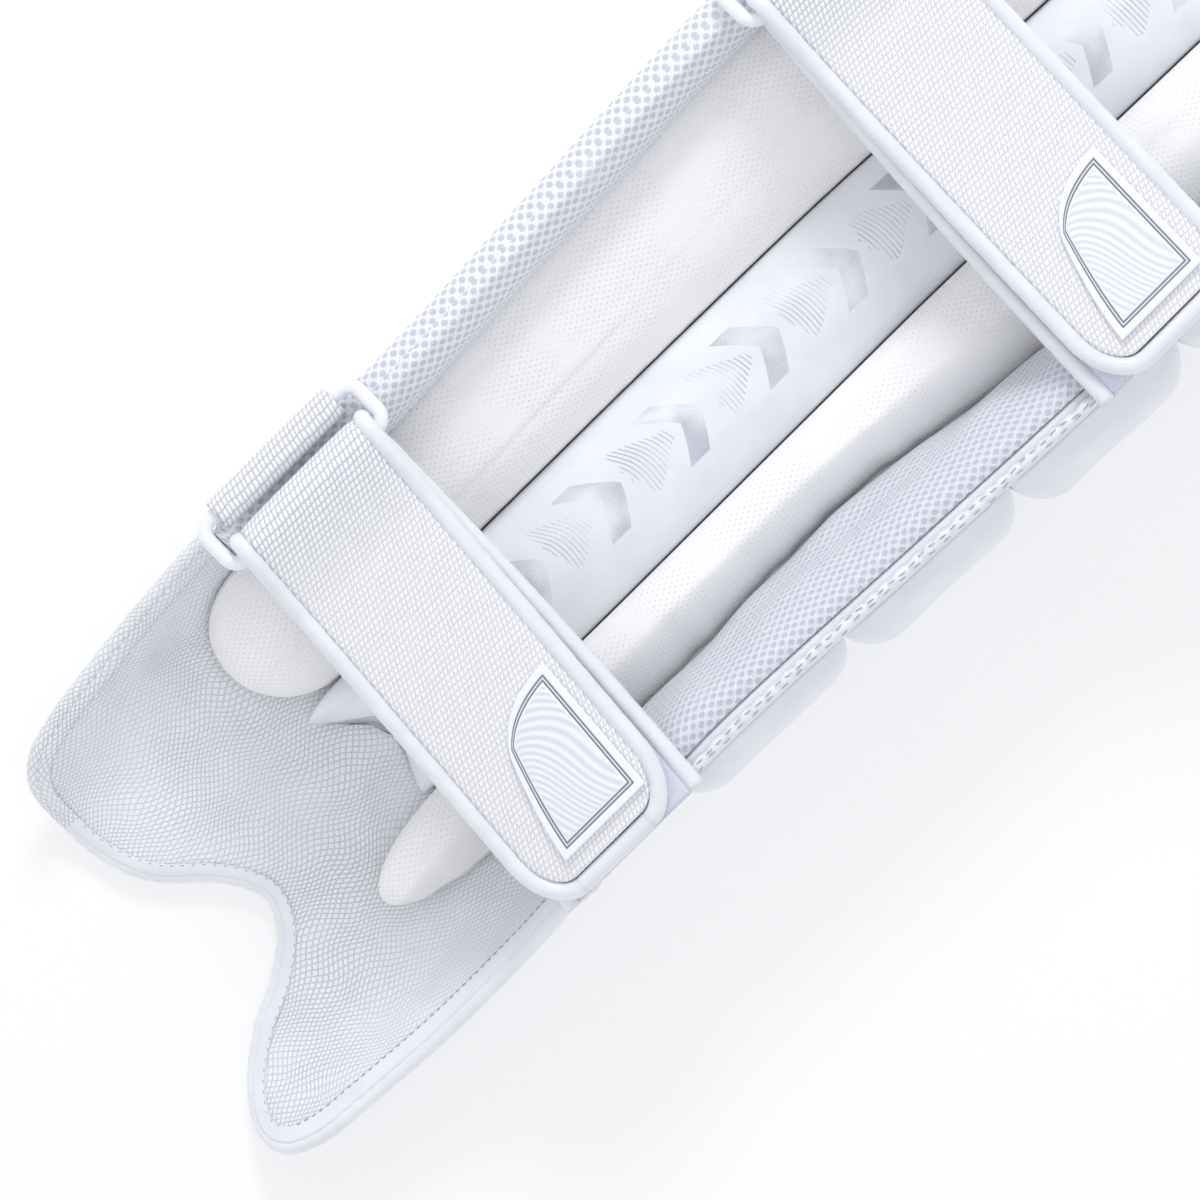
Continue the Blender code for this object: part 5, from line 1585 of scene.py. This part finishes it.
# %% Webbing tabs round the rings
def add_ring_tab(strap):
    """A webbing tab up the wing's outer face and round the ring's outer bar."""
    layout = strap_layout(strap)
    outer, radius = layout["outer"], layout["tab_radius"]
    half = STRAP_WIDTH / 2 + RING_SIDE_GAP - RING_CORNER_RADIUS
    face = np.linspace(-1, 1, TAB_CELLS + 1)
    across = np.concatenate([face, face[::-1]])[None, :]
    side = np.concatenate([np.ones(TAB_CELLS + 1), -np.ones(TAB_CELLS + 1)])[None, :]
    rim = np.sqrt(np.maximum(1 - 0.6 * np.abs(across) ** 16, 0))
    off = (side * TAB_THICKNESS / 2 + TAB_PLUMP * (side > 0)) * rim
    y = strap["along"] + across * half
    down = TAB_DROP * np.linspace(1, 0, 25)[:, None]
    face_height = -(SHELL_WALL + BEND_CLEARANCE + TAB_THICKNESS / 2)
    sewn = wall_place(-(wing_end(y) - down), y, face_height - off)
    turn = np.linspace(math.pi, -math.pi / 2, 61)[:, None]
    bent = (radius + off) * (1 + TAB_BULGE * np.maximum(np.cos(turn), 0) * (side > 0))
    wrapped = np.stack(np.broadcast_arrays(
        outer[0] + bent * np.cos(turn), y, outer[2] + bent * np.sin(turn)), axis=-1)
    places = np.concatenate([sewn, wrapped[0:1] * 0.5 + sewn[-1:] * 0.5, wrapped]) + TO_FLOOR
    lengths = np.concatenate([
        -down[:, 0], [TAB_BEND_LENGTH / 2], TAB_BEND_LENGTH + (math.pi - turn[:, 0]) * radius])
    cloth = np.stack(np.broadcast_arrays(across * half, lengths[:, None]), axis=-1)
    cloth = np.concatenate([cloth, cloth[:, :1]], axis=1)
    piece = add_rows(f"{strap['name']}_ring_webbing_tab", places, cloth, tab_webbing)
    return declare(piece, f"{strap['name']}_ring_tab")


for strap in STRAPS:
    add_ring(strap)
    add_ring_tab(strap)

# %% [markdown]
# ## Badges
# A badge on such a strap is soft rubber poured in a mould: a flat patch with fine raised waves
# and a double groove round its edge, filled with grey. The waves and grooves are real relief in
# the mesh; the grey is painted where a groove is, from each point's distance to the edge.

# %% Moulded rubber patch
BADGE_LENGTH = 0.0590
BADGE_HEIGHT = 0.042
BADGE_THICKNESS = 0.0018
BADGE_INSET = 0.0070
BADGE_LEAN = 0.010
BADGE_CORNER = 0.007
BADGE_TAPER = 0.22
BADGE_CELLS = (180, 130)
GROOVES = (0.0034, 0.0046)
GROOVE_HALF = 0.00042
GROOVE_DEPTH = 0.00045
WAVE_PITCH = 0.0026
WAVE_RISE = 0.00032
WAVE_EDGE = GROOVES[1] + 0.0008
WAVE_FADE = 0.0006
WAVE_LEAN = 0.55
WAVE_SWAY = (0.004, 0.0025)
WAVE_SWAY_SIZE = (0.011, 0.006)
RIM_WIDTH = 0.0007
RIM_FALL = 0.0006
RUBBER_GRAIN_MM = 0.4
RUBBER_RELIEF = 0.00003


def moulded_rubber():
    """White rubber with grey in the grooves and painted shade in the troughs between the waves. Its cloth
    coordinates are inset and a brightness, lower in the wave troughs.
    """
    material, tree, cloth = start_material("moulded_rubber_patch")
    split = node(tree, "ShaderNodeSeparateXYZ", {0: cloth})
    inset, wave = split.outputs["X"], split.outputs["Y"]
    grey = 0.0
    for groove in GROOVES:
        past = node(tree, "ShaderNodeMath", {0: inset, 1: groove}, operation="SUBTRACT")
        off = node(tree, "ShaderNodeMath", {0: past}, operation="ABSOLUTE")
        line = node(tree, "ShaderNodeMapRange", {
            "Value": off, "From Min": GROOVE_HALF * 0.6, "From Max": GROOVE_HALF * 1.2,
            "To Min": 1.0, "To Max": 0.0}, interpolation_type="SMOOTHSTEP")
        grey = node(tree, "ShaderNodeMath", {0: grey, 1: line}, operation="MAXIMUM")
    grain = node(tree, "ShaderNodeTexNoise", {
        "Vector": scaled(tree, cloth, RUBBER_GRAIN_MM, RUBBER_GRAIN_MM), "Scale": 1.0, "Detail": 2.0})
    # Painted shade: the face is darker in the troughs between the raised waves.
    face = node(tree, "ShaderNodeMix", {
        0: wave, 6: linear("#D5D9E3"), 7: linear("#F7F8FC")}, data_type="RGBA")
    finish_shader(tree, grain, RUBBER_RELIEF, {
        "Base Color": node(tree, "ShaderNodeMix", {
            0: grey, 6: face, 7: linear("#858A97")}, data_type="RGBA"),
        "Roughness": 0.45, "IOR": 1.45,
    })
    return material


rubber = moulded_rubber()


def add_plate(name, face, back, cloth):
    """A closed plate from two nets of the same size."""
    rows, columns = face.shape[:2]
    count = rows * columns
    i, j = (item.ravel() for item in np.meshgrid(np.arange(rows - 1), np.arange(columns - 1), indexing="ij"))
    a = i * columns + j
    quads = np.stack([a, a + 1, a + columns + 1, a + columns], 1)
    edge = np.concatenate([
        np.arange(columns), np.arange(1, rows) * columns + columns - 1,
        (rows - 1) * columns + np.arange(columns - 2, -1, -1), np.arange(rows - 2, 0, -1) * columns])
    ahead = np.roll(edge, -1)
    sides = np.stack([edge, ahead, ahead + count, edge + count], 1)
    faces = np.concatenate([quads, quads[:, ::-1] + count, sides])
    flat = cloth.reshape(-1, 2)
    corners = np.concatenate([flat, flat])[faces.ravel()]
    points = np.concatenate([face.reshape(-1, 3), back.reshape(-1, 3)])
    return add_mesh(name, points, faces.tolist(), corners, rubber)


# %% Badges on the straps
def add_badge(strap):
    """A patch on the strap's top layer with one curved side, raised waves and two grooves."""
    path, fold_row = strap_path(strap, **ROUTE_STEPS)
    top = path[fold_row + ROUTE_STEPS["fold_steps"] // 2:]
    s, down = np.meshgrid(np.linspace(0, 1, BADGE_CELLS[0] + 1), np.linspace(0, 1, BADGE_CELLS[1] + 1))
    right = strap["end"] - BADGE_INSET
    left = right - BADGE_LENGTH + BADGE_LEAN * down**2 + BADGE_CORNER * down**6
    x = left + (right - left) * s
    wide = right - left
    tall = BADGE_HEIGHT * (1 - BADGE_TAPER * (1 - s) ** 1.5)
    inset = np.minimum(np.minimum(s, 1 - s) * wide, np.minimum(down, 1 - down) * tall)
    relief = np.zeros_like(x)
    for groove in GROOVES:
        relief -= GROOVE_DEPTH * np.exp(-((inset - groove) / GROOVE_HALF) ** 2)
    u, v = s * wide, down * tall
    lean = u * WAVE_LEAN + v + WAVE_SWAY[0] * np.sin(u / WAVE_SWAY_SIZE[0])
    lean = lean + WAVE_SWAY[1] * np.sin(v / WAVE_SWAY_SIZE[1] + u / 0.02)
    waves = 0.5 + 0.5 * np.sin(2 * math.pi * lean / WAVE_PITCH)
    inside = np.clip((inset - WAVE_EDGE) / WAVE_FADE, 0, 1)
    relief += WAVE_RISE * waves * inside
    rim = 1 - np.clip(inset / RIM_WIDTH, 0, 1)
    relief -= RIM_FALL * rim * rim
    base = np.interp(x, top[:, 0], top[:, 1])
    lift = STRAP_THICKNESS / 2 + BEND_CLEARANCE + BADGE_THICKNESS
    across = strap["badge"] + BADGE_HEIGHT / 2 - tall * down
    face = lay_strap(strap, x, base + lift + relief, across)
    back = lay_strap(strap, x, base + lift - BADGE_THICKNESS - RIM_FALL, across)
    # Painted shade: the troughs between the waves are made darker.
    bright = 1 - 0.65 * inside * (1 - waves)
    return add_plate(f"{strap['name']}_rubber_badge", face, back, np.stack([inset, bright], axis=-1))


for strap in STRAPS:
    declare(add_badge(strap), f"{strap['name']}_badge")

# %% [markdown]
# ## Size of the dressed guard
# Cloth may stand a little proud of the imported solids, so both boxes are printed.

# %% Print both boxes
dressed_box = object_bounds()
for word, size in (("packed", cad_box), ("dressed", dressed_box)):
    print(word, [round(v * 1000, 1) for corner in size for v in corner])
